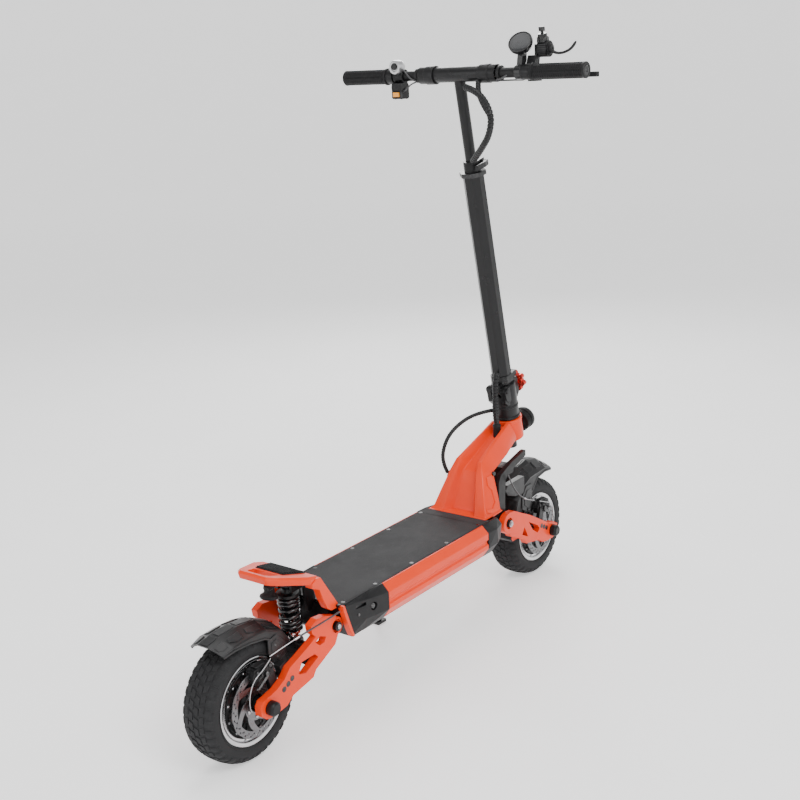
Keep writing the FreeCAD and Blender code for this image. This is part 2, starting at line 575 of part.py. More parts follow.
# ------------------------------------------------------------------ stem base with the fold clevis and the latch block
base = cyl(sf(0.6, 0), sf(92, 0), 30)
for y0, y1 in ((13.5, 25), (-25, -13.5)):
    e = sprism_y([(44, -26), (56, FOLD_F - 11), (FOLD_S, FOLD_F - 11), (FOLD_S + 8, FOLD_F - 6), (92, 0), (44, 0)], y0, y1)
    base = base.fuse(e.fuse(cyl(sf(FOLD_S, FOLD_F, y0), sf(FOLD_S, FOLD_F, y1), 11)))
base = base.cut(sbox(66, 110, -60, -8, -13.5, 13.5))
base = base.cut(cyl(sf(-5, 0), sf(58.2, 0), 14.05))
base = base.fuse(cyl(sf(FOLD_S, FOLD_F, -25.5), sf(FOLD_S, FOLD_F, 25.5), 5))
latch = sprism_y([(40, 24), (94, 24), (94, 42), (84, 46), (50, 46), (40, 36)], -14, 14)
latch = latch.cut(cyl(sf(72, 20), sf(72, 60), 5.1))
base = base.fuse(latch).cut(cyl(sf(72, 22), sf(72, 60), 5.1)).removeSplitter()
save("stem_base", base)

knob = cyl(sf(72, 52), sf(72, 66), 20)
for k in range(7):
    a = 2 * math.pi * k / 7
    c0 = sf(72, 53) + ES * (21 * math.cos(a)) + EY * (21 * math.sin(a))
    c1 = sf(72, 65) + ES * (21 * math.cos(a)) + EY * (21 * math.sin(a))
    knob = knob.fuse(cyl(c0, c1, 6.5))
knob = knob.fuse(cyl(sf(72, 28), sf(72, 53), 5.0)).fuse(cyl(sf(72, 46.6), sf(72, 53), 11)).removeSplitter()
save("fold_knob", knob)

# ------------------------------------------------------------------ stem tube, collar and quick-release lever
def octagon(af, cut=0.2929):
    h, c = af / 2, af * cut
    return [(-h, -h + c), (-h + c, -h), (h - c, -h), (h, -h + c), (h, h - c), (h - c, h), (-h + c, h), (-h, h - c)]


stem = sprism(octagon(STEM_AF), STEM_LOW, STEM_TOP).cut(sprism(octagon(STEM_AF - 7), STEM_LOW - 1, STEM_TOP + 1))
foot = sprism(octagon(STEM_AF + 2, 0.2), 97, STEM_LOW + 6)
foot = foot.fuse(sbox(97.5, 110, 18, 46, -13, 13))
tongue = sprism_y([(FOLD_S, FOLD_F - 10), (101, FOLD_F - 8), (101, FOLD_F + 14), (FOLD_S - 4, FOLD_F + 9)], -13, 13)
tongue = tongue.fuse(cyl(sf(FOLD_S, FOLD_F, -13), sf(FOLD_S, FOLD_F, 13), 10))
stem = fuse(stem, foot, tongue)
stem = stem.cut(cyl(sf(FOLD_S, FOLD_F, -20), sf(FOLD_S, FOLD_F, 20), 5.08)).removeSplitter()
save("stem_tube", stem)

collar = sprism(octagon(58), STEM_TOP, STEM_TOP + 10)
collar = collar.fuse(cyl(sf(STEM_TOP + 9, 0), sf(STEM_TOP + 34, 0), 19))
collar = collar.fuse(cyl(sf(STEM_TOP - 60, 0), sf(STEM_TOP + 1, 0), 19.3))
ears = sbox(STEM_TOP + 14, STEM_TOP + 32, 15, 34, -13, 13)
collar = collar.fuse(ears)
collar = collar.cut(sbox(STEM_TOP + 11, STEM_TOP + 40, 8, 40, -1.2, 1.2))
collar = collar.cut(cyl(sf(STEM_TOP - 70, 0), sf(STEM_TOP + 40, 0), MAST_R + 0.1))
collar = collar.cut(cyl(sf(STEM_TOP + 23, 26, -22), sf(STEM_TOP + 23, 26, 20), 2.9)).removeSplitter()
skewer = cyl(sf(STEM_TOP + 23, 26, -20), sf(STEM_TOP + 23, 26, 16), 2.6)
skewer = skewer.fuse(cyl(sf(STEM_TOP + 20.4, 26, -20), sf(STEM_TOP + 25.6, 26, -20), 4.8))
skewer = skewer.fuse(cyl(sf(STEM_TOP + 16.4, 26, -20), sf(STEM_TOP + 29.6, 26, -20), 2.5))
skewer = skewer.fuse(cyl(sf(STEM_TOP + 23, 26, 13), sf(STEM_TOP + 23, 26, 18), 6)).removeSplitter()
save("stem_collar", collar, skewer)
lev = cyl(sf(STEM_TOP + 17, 26, -20), sf(STEM_TOP + 29, 26, -20), 6.4)
lev = lev.fuse(sprism([(31, -22), (29, -27), (10, -31.5), (-22, -31.5), (-28, -27), (-22, -26.4), (10, -26), (20, -20)], STEM_TOP + 17, STEM_TOP + 29))
lev = lev.cut(sbox(STEM_TOP + 20, STEM_TOP + 26, 17, 36, -26, 0)).cut(cyl(sf(STEM_TOP + 10, 26, -20), sf(STEM_TOP + 40, 26, -20), 2.56)).removeSplitter()
save("clamp_lever", lev)

# ------------------------------------------------------------------ telescopic mast and bar tee
mast = cyl(sf(400, 0), sf(BAR_S, 0), MAST_R).cut(cyl(sf(399, 0), sf(BAR_S - 20, 0), MAST_R - 2.2))
BC = sf(BAR_S, 0)
BX, BZ = BC.x, BC.z
print("bar centre", round(BX, 3), round(BZ, 3))


def by(y0, y1, r):
    return cyl(V(BX, y0, BZ), V(BX, y1, BZ), r)


tee = fuse(mast, by(-78, 78, TEE_R))
for s in (-1, 1):
    for x0, x1 in ((6.2, 13), (-13, -6.2)):
        c = box(BX + x0, BX + x1, min(s * 77, s * BAR_PIVOT_Y), max(s * 77, s * BAR_PIVOT_Y), BZ - 9, BZ + 9)
        c = c.fuse(cyl(V(BX + x0, s * BAR_PIVOT_Y, BZ), V(BX + x1, s * BAR_PIVOT_Y, BZ), 9))
        tee = tee.fuse(c)
    tee = tee.fuse(cyl(V(BX - 13, s * BAR_PIVOT_Y, BZ), V(BX + 13, s * BAR_PIVOT_Y, BZ), 3.5))
save("bar_tee", tee.removeSplitter())


def sleeve(s):
    a = by(s * 60, s * 84, 20.5).fuse(by(s * 84, s * 102, 19)).cut(by(s * 50, s * 110, TEE_R + 0.15))
    return a.removeSplitter()


save("sleeve_left", sleeve(1))
save("sleeve_right", sleeve(-1))


def half_bar(s):
    b = by(s * 105.5, s * 112, 16).fuse(by(s * 112, s * (BAR_END - 4), BAR_R))
    t = box(BX - 6, BX + 6, min(s * BAR_PIVOT_Y, s * 106), max(s * BAR_PIVOT_Y, s * 106), BZ - 9, BZ + 9)
    t = t.fuse(cyl(V(BX - 6, s * BAR_PIVOT_Y, BZ), V(BX + 6, s * BAR_PIVOT_Y, BZ), 9))
    t = t.cut(cyl(V(BX - 10, s * BAR_PIVOT_Y, BZ), V(BX + 10, s * BAR_PIVOT_Y, BZ), 3.56))
    return b.fuse(t).removeSplitter()


save("bar_left", half_bar(1))
save("bar_right", half_bar(-1))


def grip(s):
    g0 = 194 if s > 0 else 188
    g = by(s * g0, s * (g0 + 6), GRIP_R + 2).fuse(by(s * (g0 + 5), s * (BAR_END - 3), GRIP_R)).fuse(by(s * (BAR_END - 4), s * BAR_END, GRIP_R - 2))
    return g.cut(by(s * (g0 - 5), s * (BAR_END - 4), BAR_R)).removeSplitter()


save("grip_left", grip(1))
save("grip_right", grip(-1))

# ------------------------------------------------------------------ brake levers: perch on the bar, lever in front of the grip
LEV_X, LEV_Z = BX + 34, BZ - 10
LEV_Y = 172.0


def perch(s):
    y0, y1 = (175.5, 192.5) if s > 0 else (-186.5, -169.5)
    ring = by(y0, y1, 16.5).cut(by(y0 - 2, y1 + 2, BAR_R + 0.02))
    arm_ = prism_y([(BX + 10, BZ - 14), (BX + 26, BZ - 20), (LEV_X + 8, LEV_Z - 9), (LEV_X + 8, LEV_Z - 6.2), (BX + 20, LEV_Z - 6.2), (BX + 10, BZ + 2)], y0, y1)
    y2, y3 = (150, 190) if s > 0 else (-184, -160)
    low = box(LEV_X - 12, LEV_X + 9, y0, y1, LEV_Z - 10, LEV_Z - 6.2)
    hi = box(LEV_X - 12, LEV_X + 9, y0, y1, LEV_Z + 6.2, LEV_Z + 10)
    back = box(BX + 12, LEV_X - 11, y0, y1, LEV_Z - 10, LEV_Z + 10)
    p = fuse(ring, arm_, low, hi, back)
    p = p.cut(by(y0 - 2, y1 + 2, BAR_R + 0.02))
    ym = (y0 + y1) / 2
    pin_ = cyl(V(LEV_X, ym, LEV_Z - 10), V(LEV_X, ym, LEV_Z + 10), 3)
    nose = cyl(V(LEV_X - 6, y0 if s > 0 else y1, LEV_Z + 12), V(LEV_X - 6, (y0 - 16) if s > 0 else (y1 + 16), LEV_Z + 12), 4.5)
    nb = box(LEV_X - 12, LEV_X, min(y0, y1), max(y0, y1), LEV_Z + 9, LEV_Z + 15)
    return fuse(p, pin_, nose, nb)


save("perch_left", perch(1))
save("perch_right", perch(-1))


def lever(s):
    ym = 184.0 if s > 0 else -178.0
    pts = [(0, -7), (8, -7), (13, 10), (22, 26), (29, 60), (32, 100), (38, 128), (34, 134), (27, 131), (22, 102), (18, 60), (10, 30), (-5, 10), (-7, 0)]
    f = face([V(LEV_X + a, ym + s * b, LEV_Z - 5.5) for a, b in pts]).extrude(V(0, 0, 11))
    f = f.cut(cyl(V(LEV_X, ym, LEV_Z - 10), V(LEV_X, ym, LEV_Z + 10), 3.08))
    return f


save("brake_lever_left", lever(1))
save("brake_lever_right", lever(-1))

# ------------------------------------------------------------------ left controls: pod with the horn button, switch box below
PY0, PY1 = 146.0, 173.0
ring = by(PY0, PY1, 15.5).cut(by(PY0 - 2, PY1 + 2, BAR_R + 0.02))
podb = box(BX - 24, BX + 2, PY0, PY1, BZ + 10, BZ + 34).cut(by(PY0 - 2, PY1 + 2, BAR_R + 0.02))
podb = podb.cut(box(BX - 40, BX - 16, PY0 + 4.5, PY1 - 4.5, BZ + 14, BZ + 30))
pod = fuse(ring, podb)
btn = cyl(V(BX - 27, (PY0 + PY1) / 2, BZ + 22), V(BX - 19.5, (PY0 + PY1) / 2, BZ + 22), 7.4)
save("horn_button", btn)
sb = box(BX - 20, BX + 12, PY0, PY1, BZ - 50, BZ - 15.6).cut(by(PY0 - 2, PY1 + 2, 15.6))
sb = sb.cut(box(BX - 40, BX - 14, PY0 + 4.5, PY1 - 4.5, BZ - 46, BZ - 34))
save("switch_cluster", pod, sb)
save("light_button", box(BX - 23, BX - 17, PY0 + 5.5, PY1 - 5.5, BZ - 45, BZ - 35))

# ------------------------------------------------------------------ right controls: round display, key switch, finger throttle
ring = by(-166, -150, 16).cut(by(-168, -148, BAR_R + 0.02))
DC = V(BX + 5, -158, BZ + 59)
dn = V(-0.78, -0.1, 0.62)
dn.normalize()
post = box(BX - 2, BX + 18, -165, -151, BZ + 12, BZ + 46).cut(by(-168, -148, BAR_R + 0.02))
dial = cyl(DC - dn * 12, DC + dn * 8, 27)
disp = fuse(ring, post, dial)
disp = disp.cut(cyl(DC + dn * 5, DC + dn * 12, 23.5))
screen = cyl(DC + dn * 5, DC + dn * 6.5, 23.4)
disp = disp.cut(by(-168, -148, BAR_R + 0.02))

TY = -196.0
thr = fuse(cyl(V(BX + 30, -214, BZ + 46), V(BX + 30, -190, BZ + 46), 17), box(BX + 14, BX + 36, -190.5, -186, BZ + 30, BZ + 56))
arm2 = prism_y([(BX + 18, BZ + 34), (BX + 34, BZ + 34), (BX + 30, BZ + 12), (BX + 6, BZ + 8)], -188, -167.2)
ring2 = by(-169.2, -166.2, 16).cut(by(-180, -160, BAR_R + 0.02))
thr = fuse(thr, arm2.cut(by(-190, -160, 16.6)), ring2)
thr = thr.cut(cyl(V(BX + 30, -222, BZ + 46), V(BX + 30, -206, BZ + 46), 13.2))
save("throttle_body", thr)
tl = cyl(V(BX + 30, -214, BZ + 46), V(BX + 30, -206.4, BZ + 46), 12.8)
tl = tl.fuse(cyl(V(BX + 30, -220, BZ + 46), V(BX + 30, -214, BZ + 46), 10))
pts = [V(BX + 22, -214.3, BZ + 41), V(BX + 22, -224, BZ + 41), V(BX + 24, -252, BZ + 46), V(BX + 30, -276, BZ + 58), V(BX + 36, -276, BZ + 58), V(BX + 36, -250, BZ + 44), V(BX + 38, -222, BZ + 38), V(BX + 38, -214.3, BZ + 38)]
lv = face([V(p.x, p.y, BZ + 34) for p in pts]).extrude(V(0, 0, 12))
tl = tl.fuse(lv).removeSplitter()
save("throttle_lever", tl)
kc = V(BX + 26, -200, BZ + 62)
kb = cyl(kc + V(0, 0, 0), kc + V(-4, 0, 16), 11).fuse(prism_y([(BX + 16, BZ + 58), (BX + 36, BZ + 58), (BX + 36, BZ + 72), (BX + 16, BZ + 72)], -210, -190.0))
kb = kb.cut(cyl(kc + V(-2, 0, 10), kc + V(-5, 0, 25), 3.6))
kb = kb.cut(cyl(V(BX + 30, -230, BZ + 46), V(BX + 30, -180, BZ + 46), 17.2))
save("display_and_key_switch", disp, screen, kb)
kd = V(-4, 0, 20)
kd.normalize()
key = cyl(kc + kd * 12, kc + kd * 22, 3.3)
kh = box(-1.5, 1.5, -7, 7, 0, 9)
kh.Placement = FreeCAD.Placement(kc + kd * 21, FreeCAD.Rotation(V(0, 0, 1), kd))
save("key", key.fuse(kh).removeSplitter())

# ------------------------------------------------------------------ kickstand
hub = cyl(V(KX, 66.5, KZ), V(KX, 82, KZ), 9)
leg = cyl(V(KX, 74.3, KZ), V(KX + 4, 74.3, 122), 7).fuse(Part.makeSphere(7, V(KX + 4, 74.3, 122))).fuse(cyl(V(KX + 4, 74.3, 122), V(KX + 18, 140, 8), 7))
ft = box(KX + 4, KX + 34, 128, 152, -4, 7)
ft.rotate(V(KX + 18, 140, 0), V(0, 1, 0), 0)
ks = fuse(hub, leg, ft)
ks = ks.cut(box(0, 150, 60, 220, -50, 0)).cut(cyl(V(KX, 60, KZ), V(KX, 90, KZ), 4.08)).removeSplitter()
save("kickstand", ks)

# ------------------------------------------------------------------ looms and cables held at both ends
BAR_LOOM = [(BX - 14, -26, BZ - 28), (BX - 26, -56, BZ - 34), (BX - 35, -88, BZ - 54), (BX - 38, -108, BZ - 90), (BX - 34, -98, BZ - 130),
            (BX - 20, -70, BZ - 158), (BX + 0, -42, BZ - 178), (BX + 14, -23, BZ - 190)]
save("bar_loom", tube("bar_loom", BAR_LOOM, 7.5))
NECK_LOOM = [(399, 4, 472), (372, 24, 470), (334, 43, 460), (292, 58, 436), (268, 64, 402), (264, 65, 366), (277, 60, 338)]
STRAND = [(393, -9, 507), (387, -9, 474), (402, -6, 437)]
STRAND_UP = [(404, -7, 566), (390, -9, 540), (393, -9, 508)]
save("neck_loom", tube("neck_loom", NECK_LOOM, 5.0), tube("strand", STRAND, 7.0), tube("strand_up", STRAND_UP, 7.0))
REAR_CABLE = [(-333, -90, 247), (-376, -89, 244), (-424, -85, 241), (-464, -68, 227), (-508, -56, 214)]
save("rear_brake_cable", tube("rear_brake_cable", REAR_CABLE, 2.5))
FRONT_CABLE = [(352, -66, 330), (378, -66, 286), (410, -66, 256), (450, -62, 234), (494, -55, 218)]
save("front_brake_cable", tube("front_brake_cable", FRONT_CABLE, 2.5))
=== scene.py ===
import bpy, bmesh, math, random
from mathutils import Vector, Matrix


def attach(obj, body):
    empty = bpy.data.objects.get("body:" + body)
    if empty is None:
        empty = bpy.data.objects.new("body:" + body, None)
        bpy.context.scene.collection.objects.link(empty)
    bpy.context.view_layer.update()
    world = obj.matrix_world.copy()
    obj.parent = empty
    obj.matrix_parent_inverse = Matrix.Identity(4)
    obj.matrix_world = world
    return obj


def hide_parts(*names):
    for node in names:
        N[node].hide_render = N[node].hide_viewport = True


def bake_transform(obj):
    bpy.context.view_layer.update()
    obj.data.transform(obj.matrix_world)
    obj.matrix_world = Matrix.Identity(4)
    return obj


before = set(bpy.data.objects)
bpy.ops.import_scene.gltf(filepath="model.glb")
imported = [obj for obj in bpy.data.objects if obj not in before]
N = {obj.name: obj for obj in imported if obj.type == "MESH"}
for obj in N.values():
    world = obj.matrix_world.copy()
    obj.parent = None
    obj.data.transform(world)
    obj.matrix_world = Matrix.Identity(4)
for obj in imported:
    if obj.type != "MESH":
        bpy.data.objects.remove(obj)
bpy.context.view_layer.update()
K = 0.001
random.seed(7)

# ---------------------------------------------------------------- materials
def new_mat(name):
    m = bpy.data.materials.new(name)
    m.use_nodes = True
    nt = m.node_tree
    for n in list(nt.nodes):
        nt.nodes.remove(n)
    out = nt.nodes.new("ShaderNodeOutputMaterial")
    p = nt.nodes.new("ShaderNodeBsdfPrincipled")
    nt.links.new(p.outputs["BSDF"], out.inputs["Surface"])
    return m, nt, p


def coords(nt, scale=(1, 1, 1), loc=(0, 0, 0)):
    tc = nt.nodes.new("ShaderNodeTexCoord")
    mp = nt.nodes.new("ShaderNodeMapping")
    mp.inputs["Scale"].default_value = scale
    mp.inputs["Location"].default_value = loc
    nt.links.new(tc.outputs["Object"], mp.inputs["Vector"])
    return mp.outputs["Vector"]


def noise(nt, vec, scale, detail=4.0, rough=0.55, dist=0.0):
    n = nt.nodes.new("ShaderNodeTexNoise")
    n.inputs["Scale"].default_value = scale
    n.inputs["Detail"].default_value = detail
    n.inputs["Roughness"].default_value = rough
    n.inputs["Distortion"].default_value = dist
    nt.links.new(vec, n.inputs["Vector"])
    return n.outputs["Fac"]


def ramp(nt, fac, stops):
    r = nt.nodes.new("ShaderNodeValToRGB")
    el = r.color_ramp.elements
    while len(el) > 1:
        el.remove(el[-1])
    el[0].position = stops[0][0]
    el[0].color = (*stops[0][1], 1)
    for p, c in stops[1:]:
        e = el.new(p)
        e.color = (*c, 1)
    nt.links.new(fac, r.inputs["Fac"])
    return r.outputs["Color"]


def maprange(nt, v, a, b, c, d):
    m = nt.nodes.new("ShaderNodeMapRange")
    m.inputs["From Min"].default_value = a
    m.inputs["From Max"].default_value = b
    m.inputs["To Min"].default_value = c
    m.inputs["To Max"].default_value = d
    nt.links.new(v, m.inputs["Value"])
    return m.outputs["Result"]


def mathn(nt, op, a, b=None):
    m = nt.nodes.new("ShaderNodeMath")
    m.operation = op
    for i, v in enumerate((a, b)):
        if v is None:
            continue
        if isinstance(v, (int, float)):
            m.inputs[i].default_value = v
        else:
            nt.links.new(v, m.inputs[i])
    return m.outputs[0]


def bump(nt, h, strength, dist, normal=None):
    b = nt.nodes.new("ShaderNodeBump")
    b.inputs["Strength"].default_value = strength
    b.inputs["Distance"].default_value = dist
    nt.links.new(h, b.inputs["Height"])
    if normal is not None:
        nt.links.new(normal, b.inputs["Normal"])
    return b.outputs["Normal"]


def paint_edge_highlight(nt, base, light, amount=0.5, low=0.52, high=0.62):
    """Paints a highlight on convex edges: lightens them a little towards the given colour, broken up by noise."""
    g = nt.nodes.new("ShaderNodeNewGeometry")
    e = maprange(nt, g.outputs["Pointiness"], low, high, 0, amount)
    k = noise(nt, coords(nt), 160, 3)
    f = mathn(nt, "MULTIPLY", e, maprange(nt, k, 0.35, 0.65, 0.3, 1.0))
    mx = nt.nodes.new("ShaderNodeMixRGB")
    nt.links.new(f, mx.inputs["Fac"])
    nt.links.new(base, mx.inputs["Color1"])
    mx.inputs["Color2"].default_value = (*light, 1)
    return mx.outputs["Color"]


def shade(c, k):
    return tuple(max(0.0, min(1.0, x * k)) for x in c)


def surface(name, color, rough=0.5, metal=0.0, var=0.12, cscale=14, rvar=0.08, rscale=40, bumps=((600, 0.15, 0.0002),), coat=0.0,
            coat_rough=0.1, spec=0.5, edge=None, sheen=0.0):
    m, nt, p = new_mat(name)
    v = coords(nt)
    c = ramp(nt, noise(nt, v, cscale, 5), [(0.3, shade(color, 1 - var)), (0.7, shade(color, 1 + var))])
    # painted highlight: convex edges are lightened towards the edge colour
    if edge:
        c = paint_edge_highlight(nt, c, edge[0], edge[1])
    nt.links.new(c, p.inputs["Base Color"])
    nt.links.new(maprange(nt, noise(nt, v, rscale, 5), 0.3, 0.7, max(0.02, rough - rvar), min(1, rough + rvar)), p.inputs["Roughness"])
    p.inputs["Metallic"].default_value = metal
    p.inputs["Coat Weight"].default_value = coat
    p.inputs["Coat Roughness"].default_value = coat_rough
    p.inputs["Specular IOR Level"].default_value = spec
    p.inputs["Sheen Weight"].default_value = sheen
    nrm = None
    for sc, st, di in bumps:
        nrm = bump(nt, noise(nt, v, sc, 3), st, di, nrm)
    if nrm is not None:
        nt.links.new(nrm, p.inputs["Normal"])
    return m


# the edge colours of these finishes are painted highlights on convex edges
ORANGE = (0.76, 0.036, 0.0)
m_orange = surface("orange_paint", ORANGE, rough=0.36, var=0.05, cscale=9, rvar=0.05, bumps=((900, 0.10, 0.00006), (160, 0.05, 0.0002)), coat=0.12, coat_rough=0.12, spec=0.2, edge=((0.90, 0.12, 0.03), 0.35))
# darker copy of the orange paint: painted shade for recesses, not used by any piece
m_orange_painted_shade = surface("orange_painted_recess_shade", shade(ORANGE, 0.78), rough=0.42, var=0.06, cscale=9, bumps=((900, 0.10, 0.00006),), coat=0.1, coat_rough=0.2, spec=0.2)
m_black = surface("black_powder_coat", (0.006, 0.006, 0.0065), rough=0.40, var=0.10, bumps=((1600, 0.22, 0.00010), (220, 0.06, 0.0002)), coat=0.05, coat_rough=0.3, edge=((0.16, 0.16, 0.165), 0.2), spec=0.22)
m_stem = surface("stem_anodised", (0.007, 0.007, 0.0075), rough=0.34, metal=0.2, var=0.10, cscale=6, bumps=((1800, 0.16, 0.00006),), coat=0.08, coat_rough=0.25, edge=((0.2, 0.2, 0.205), 0.2), spec=0.26)
m_plastic = surface("black_moulded_plastic", (0.006, 0.006, 0.0065), rough=0.38, var=0.08, bumps=((2200, 0.30, 0.00010), (90, 0.05, 0.0004)), spec=0.22, edge=((0.15, 0.15, 0.155), 0.2))
m_gloss_black = surface("gloss_black_plastic", (0.006, 0.006, 0.0065), rough=0.22, var=0.1, bumps=((500, 0.06, 0.0001),), coat=0.3, coat_rough=0.08, spec=0.3)
m_spring = surface("spring_coating", (0.006, 0.006, 0.007), rough=0.18, var=0.1, bumps=((300, 0.10, 0.0002),), coat=0.5, coat_rough=0.06, spec=0.4)
m_steel = surface("turned_steel", (0.42, 0.42, 0.43), rough=0.28, metal=1.0, var=0.10, cscale=40, bumps=((900, 0.15, 0.00008),))
m_silver = surface("cast_silver", (0.50, 0.50, 0.51), rough=0.33, metal=0.9, var=0.06, cscale=30, bumps=((1200, 0.18, 0.0001),), edge=((0.8, 0.8, 0.8), 0.4))
m_red = surface("red_anodised", (0.62, 0.035, 0.025), rough=0.28, metal=0.75, var=0.08, cscale=60, bumps=((900, 0.1, 0.00006),), edge=((0.95, 0.25, 0.2), 0.5))
m_rubber = surface("grip_rubber", (0.007, 0.007, 0.0075), rough=0.55, var=0.12, bumps=((2600, 0.45, 0.00015), (300, 0.08, 0.0002)), spec=0.2, sheen=0.05)
m_amber = surface("amber_button", (0.80, 0.30, 0.015), rough=0.28, var=0.08, cscale=80, bumps=((400, 0.05, 0.0001),), coat=0.5)
m_cable = surface("cable_housing", (0.045, 0.045, 0.047), rough=0.32, var=0.12, cscale=60, bumps=((1500, 0.15, 0.00005),), coat=0.15, spec=0.3)
m_wire = surface("bright_cable_wire", (0.45, 0.45, 0.46), rough=0.3, metal=1.0, var=0.1, cscale=200, bumps=((3000, 0.3, 0.00005),))
m_guard = surface("guard_plastic", (0.007, 0.007, 0.0075), rough=0.36, var=0.10, bumps=((2200, 0.25, 0.00008), (70, 0.05, 0.0004)), spec=0.34, edge=((0.13, 0.13, 0.135), 0.2))
m_dark_steel = surface("blackened_steel", (0.03, 0.03, 0.031), rough=0.3, metal=0.9, var=0.10, cscale=40, bumps=((900, 0.15, 0.00008),), edge=((0.35, 0.35, 0.35), 0.3), spec=0.5)
m_loom = surface("spiral_wrap", (0.007, 0.007, 0.0075), rough=0.36, var=0.15, cscale=60, bumps=((1800, 0.2, 0.00008),), coat=0.06, coat_rough=0.25, edge=((0.14, 0.14, 0.145), 0.25), spec=0.25)
m_battery = surface("battery_film", (0.03, 0.08, 0.30), rough=0.25, var=0.1, bumps=((60, 0.1, 0.0006),))
m_chrome = surface("chrome_rod", (0.70, 0.70, 0.71), rough=0.08, metal=1.0, var=0.04, bumps=((1500, 0.05, 0.00003),))


def deck_mat_material():
    m, nt, p = new_mat("deck_grip_mat")
    v = coords(nt)
    n1 = noise(nt, v, 9, 4)
    n2 = noise(nt, v, 1500, 2)
    n3 = noise(nt, v, 55, 5)
    mix = mathn(nt, "ADD", mathn(nt, "MULTIPLY", n1, 0.35), mathn(nt, "ADD", mathn(nt, "MULTIPLY", n2, 0.35), mathn(nt, "MULTIPLY", n3, 0.3)))
    c = ramp(nt, mix, [(0.32, (0.022, 0.022, 0.023)), (0.5, (0.034, 0.034, 0.035)), (0.68, (0.056, 0.056, 0.057))])
    nt.links.new(c, p.inputs["Base Color"])
    nt.links.new(maprange(nt, n3, 0.3, 0.7, 0.68, 0.86), p.inputs["Roughness"])
    p.inputs["Specular IOR Level"].default_value = 0.2
    vo = nt.nodes.new("ShaderNodeTexVoronoi")
    vo.inputs["Scale"].default_value = 900
    nt.links.new(v, vo.inputs["Vector"])
    nrm = bump(nt, vo.outputs["Distance"], 0.5, 0.0004)
    nt.links.new(bump(nt, n2, 0.3, 0.0002, nrm), p.inputs["Normal"])
    return m


m_mat = deck_mat_material()


def tyre_material():
    """Dark rubber with a random tone, fine moulded rings and radial cloth marks round the sidewall. Local to the wheel
    centre.
    """
    m, nt, p = new_mat("tyre_rubber")
    tc = nt.nodes.new("ShaderNodeTexCoord")
    sep = nt.nodes.new("ShaderNodeSeparateXYZ")
    nt.links.new(tc.outputs["Object"], sep.inputs["Vector"])
    x, z = sep.outputs["X"], sep.outputs["Z"]
    r = mathn(nt, "SQRT", mathn(nt, "ADD", mathn(nt, "MULTIPLY", x, x), mathn(nt, "MULTIPLY", z, z)))
    a = mathn(nt, "ARCTAN2", z, x)
    n1 = noise(nt, tc.outputs["Object"], 26, 5)
    n2 = noise(nt, tc.outputs["Object"], 700, 3)
    c = ramp(nt, mathn(nt, "ADD", mathn(nt, "MULTIPLY", n1, 0.6), mathn(nt, "MULTIPLY", n2, 0.4)), [(0.3, (0.010, 0.010, 0.011)), (0.55, (0.019, 0.019, 0.020)), (0.75, (0.036, 0.036, 0.036))])
    nt.links.new(c, p.inputs["Base Color"])
    nt.links.new(maprange(nt, n1, 0.3, 0.7, 0.62, 0.80), p.inputs["Roughness"])
    p.inputs["Specular IOR Level"].default_value = 0.22
    rings = mathn(nt, "SINE", mathn(nt, "MULTIPLY", r, 2600.0))
    side = maprange(nt, r, 0.1005, 0.1025, 1.0, 0.0)
    rad = mathn(nt, "SINE", mathn(nt, "MULTIPLY", a, 150.0))
    h = mathn(nt, "MULTIPLY", mathn(nt, "ADD", rings, mathn(nt, "MULTIPLY", rad, 0.6)), side)
    nrm = bump(nt, h, 0.22, 0.0004)
    nt.links.new(bump(nt, n2, 0.35, 0.0002, nrm), p.inputs["Normal"])
    return m


m_tyre = tyre_material()


def brushed_radial(name, color, rough):
    m, nt, p = new_mat(name)
    tc = nt.nodes.new("ShaderNodeTexCoord")
    sep = nt.nodes.new("ShaderNodeSeparateXYZ")
    nt.links.new(tc.outputs["Object"], sep.inputs["Vector"])
    x, z = sep.outputs["X"], sep.outputs["Z"]
    r = mathn(nt, "SQRT", mathn(nt, "ADD", mathn(nt, "MULTIPLY", x, x), mathn(nt, "MULTIPLY", z, z)))
    comb = nt.nodes.new("ShaderNodeCombineXYZ")
    nt.links.new(r, comb.inputs["X"])
    nt.links.new(sep.outputs["Y"], comb.inputs["Y"])
    rings = noise(nt, comb.outputs["Vector"], 2600, 3)
    blot = noise(nt, tc.outputs["Object"], 60, 4)
    c = ramp(nt, mathn(nt, "ADD", mathn(nt, "MULTIPLY", rings, 0.5), mathn(nt, "MULTIPLY", blot, 0.5)), [(0.3, shade(color, 0.82)), (0.7, shade(color, 1.12))])
    nt.links.new(c, p.inputs["Base Color"])
    nt.links.new(maprange(nt, rings, 0.3, 0.7, rough - 0.07, rough + 0.08), p.inputs["Roughness"])
    p.inputs["Metallic"].default_value = 1.0
    p.inputs["Anisotropic"].default_value = 0.5
    nt.links.new(bump(nt, rings, 0.12, 0.00008), p.inputs["Normal"])
    return m


m_disc = brushed_radial("ground_brake_disc", (0.17, 0.17, 0.175), 0.30)
m_lip = brushed_radial("polished_rim_lip", (0.56, 0.56, 0.57), 0.18)
m_motor = surface("motor_cover_black", (0.007, 0.007, 0.0075), rough=0.34, metal=0.2, var=0.1, bumps=((900, 0.2, 0.0001),), coat=0.08, coat_rough=0.2, edge=((0.14, 0.14, 0.145), 0.2), spec=0.25)


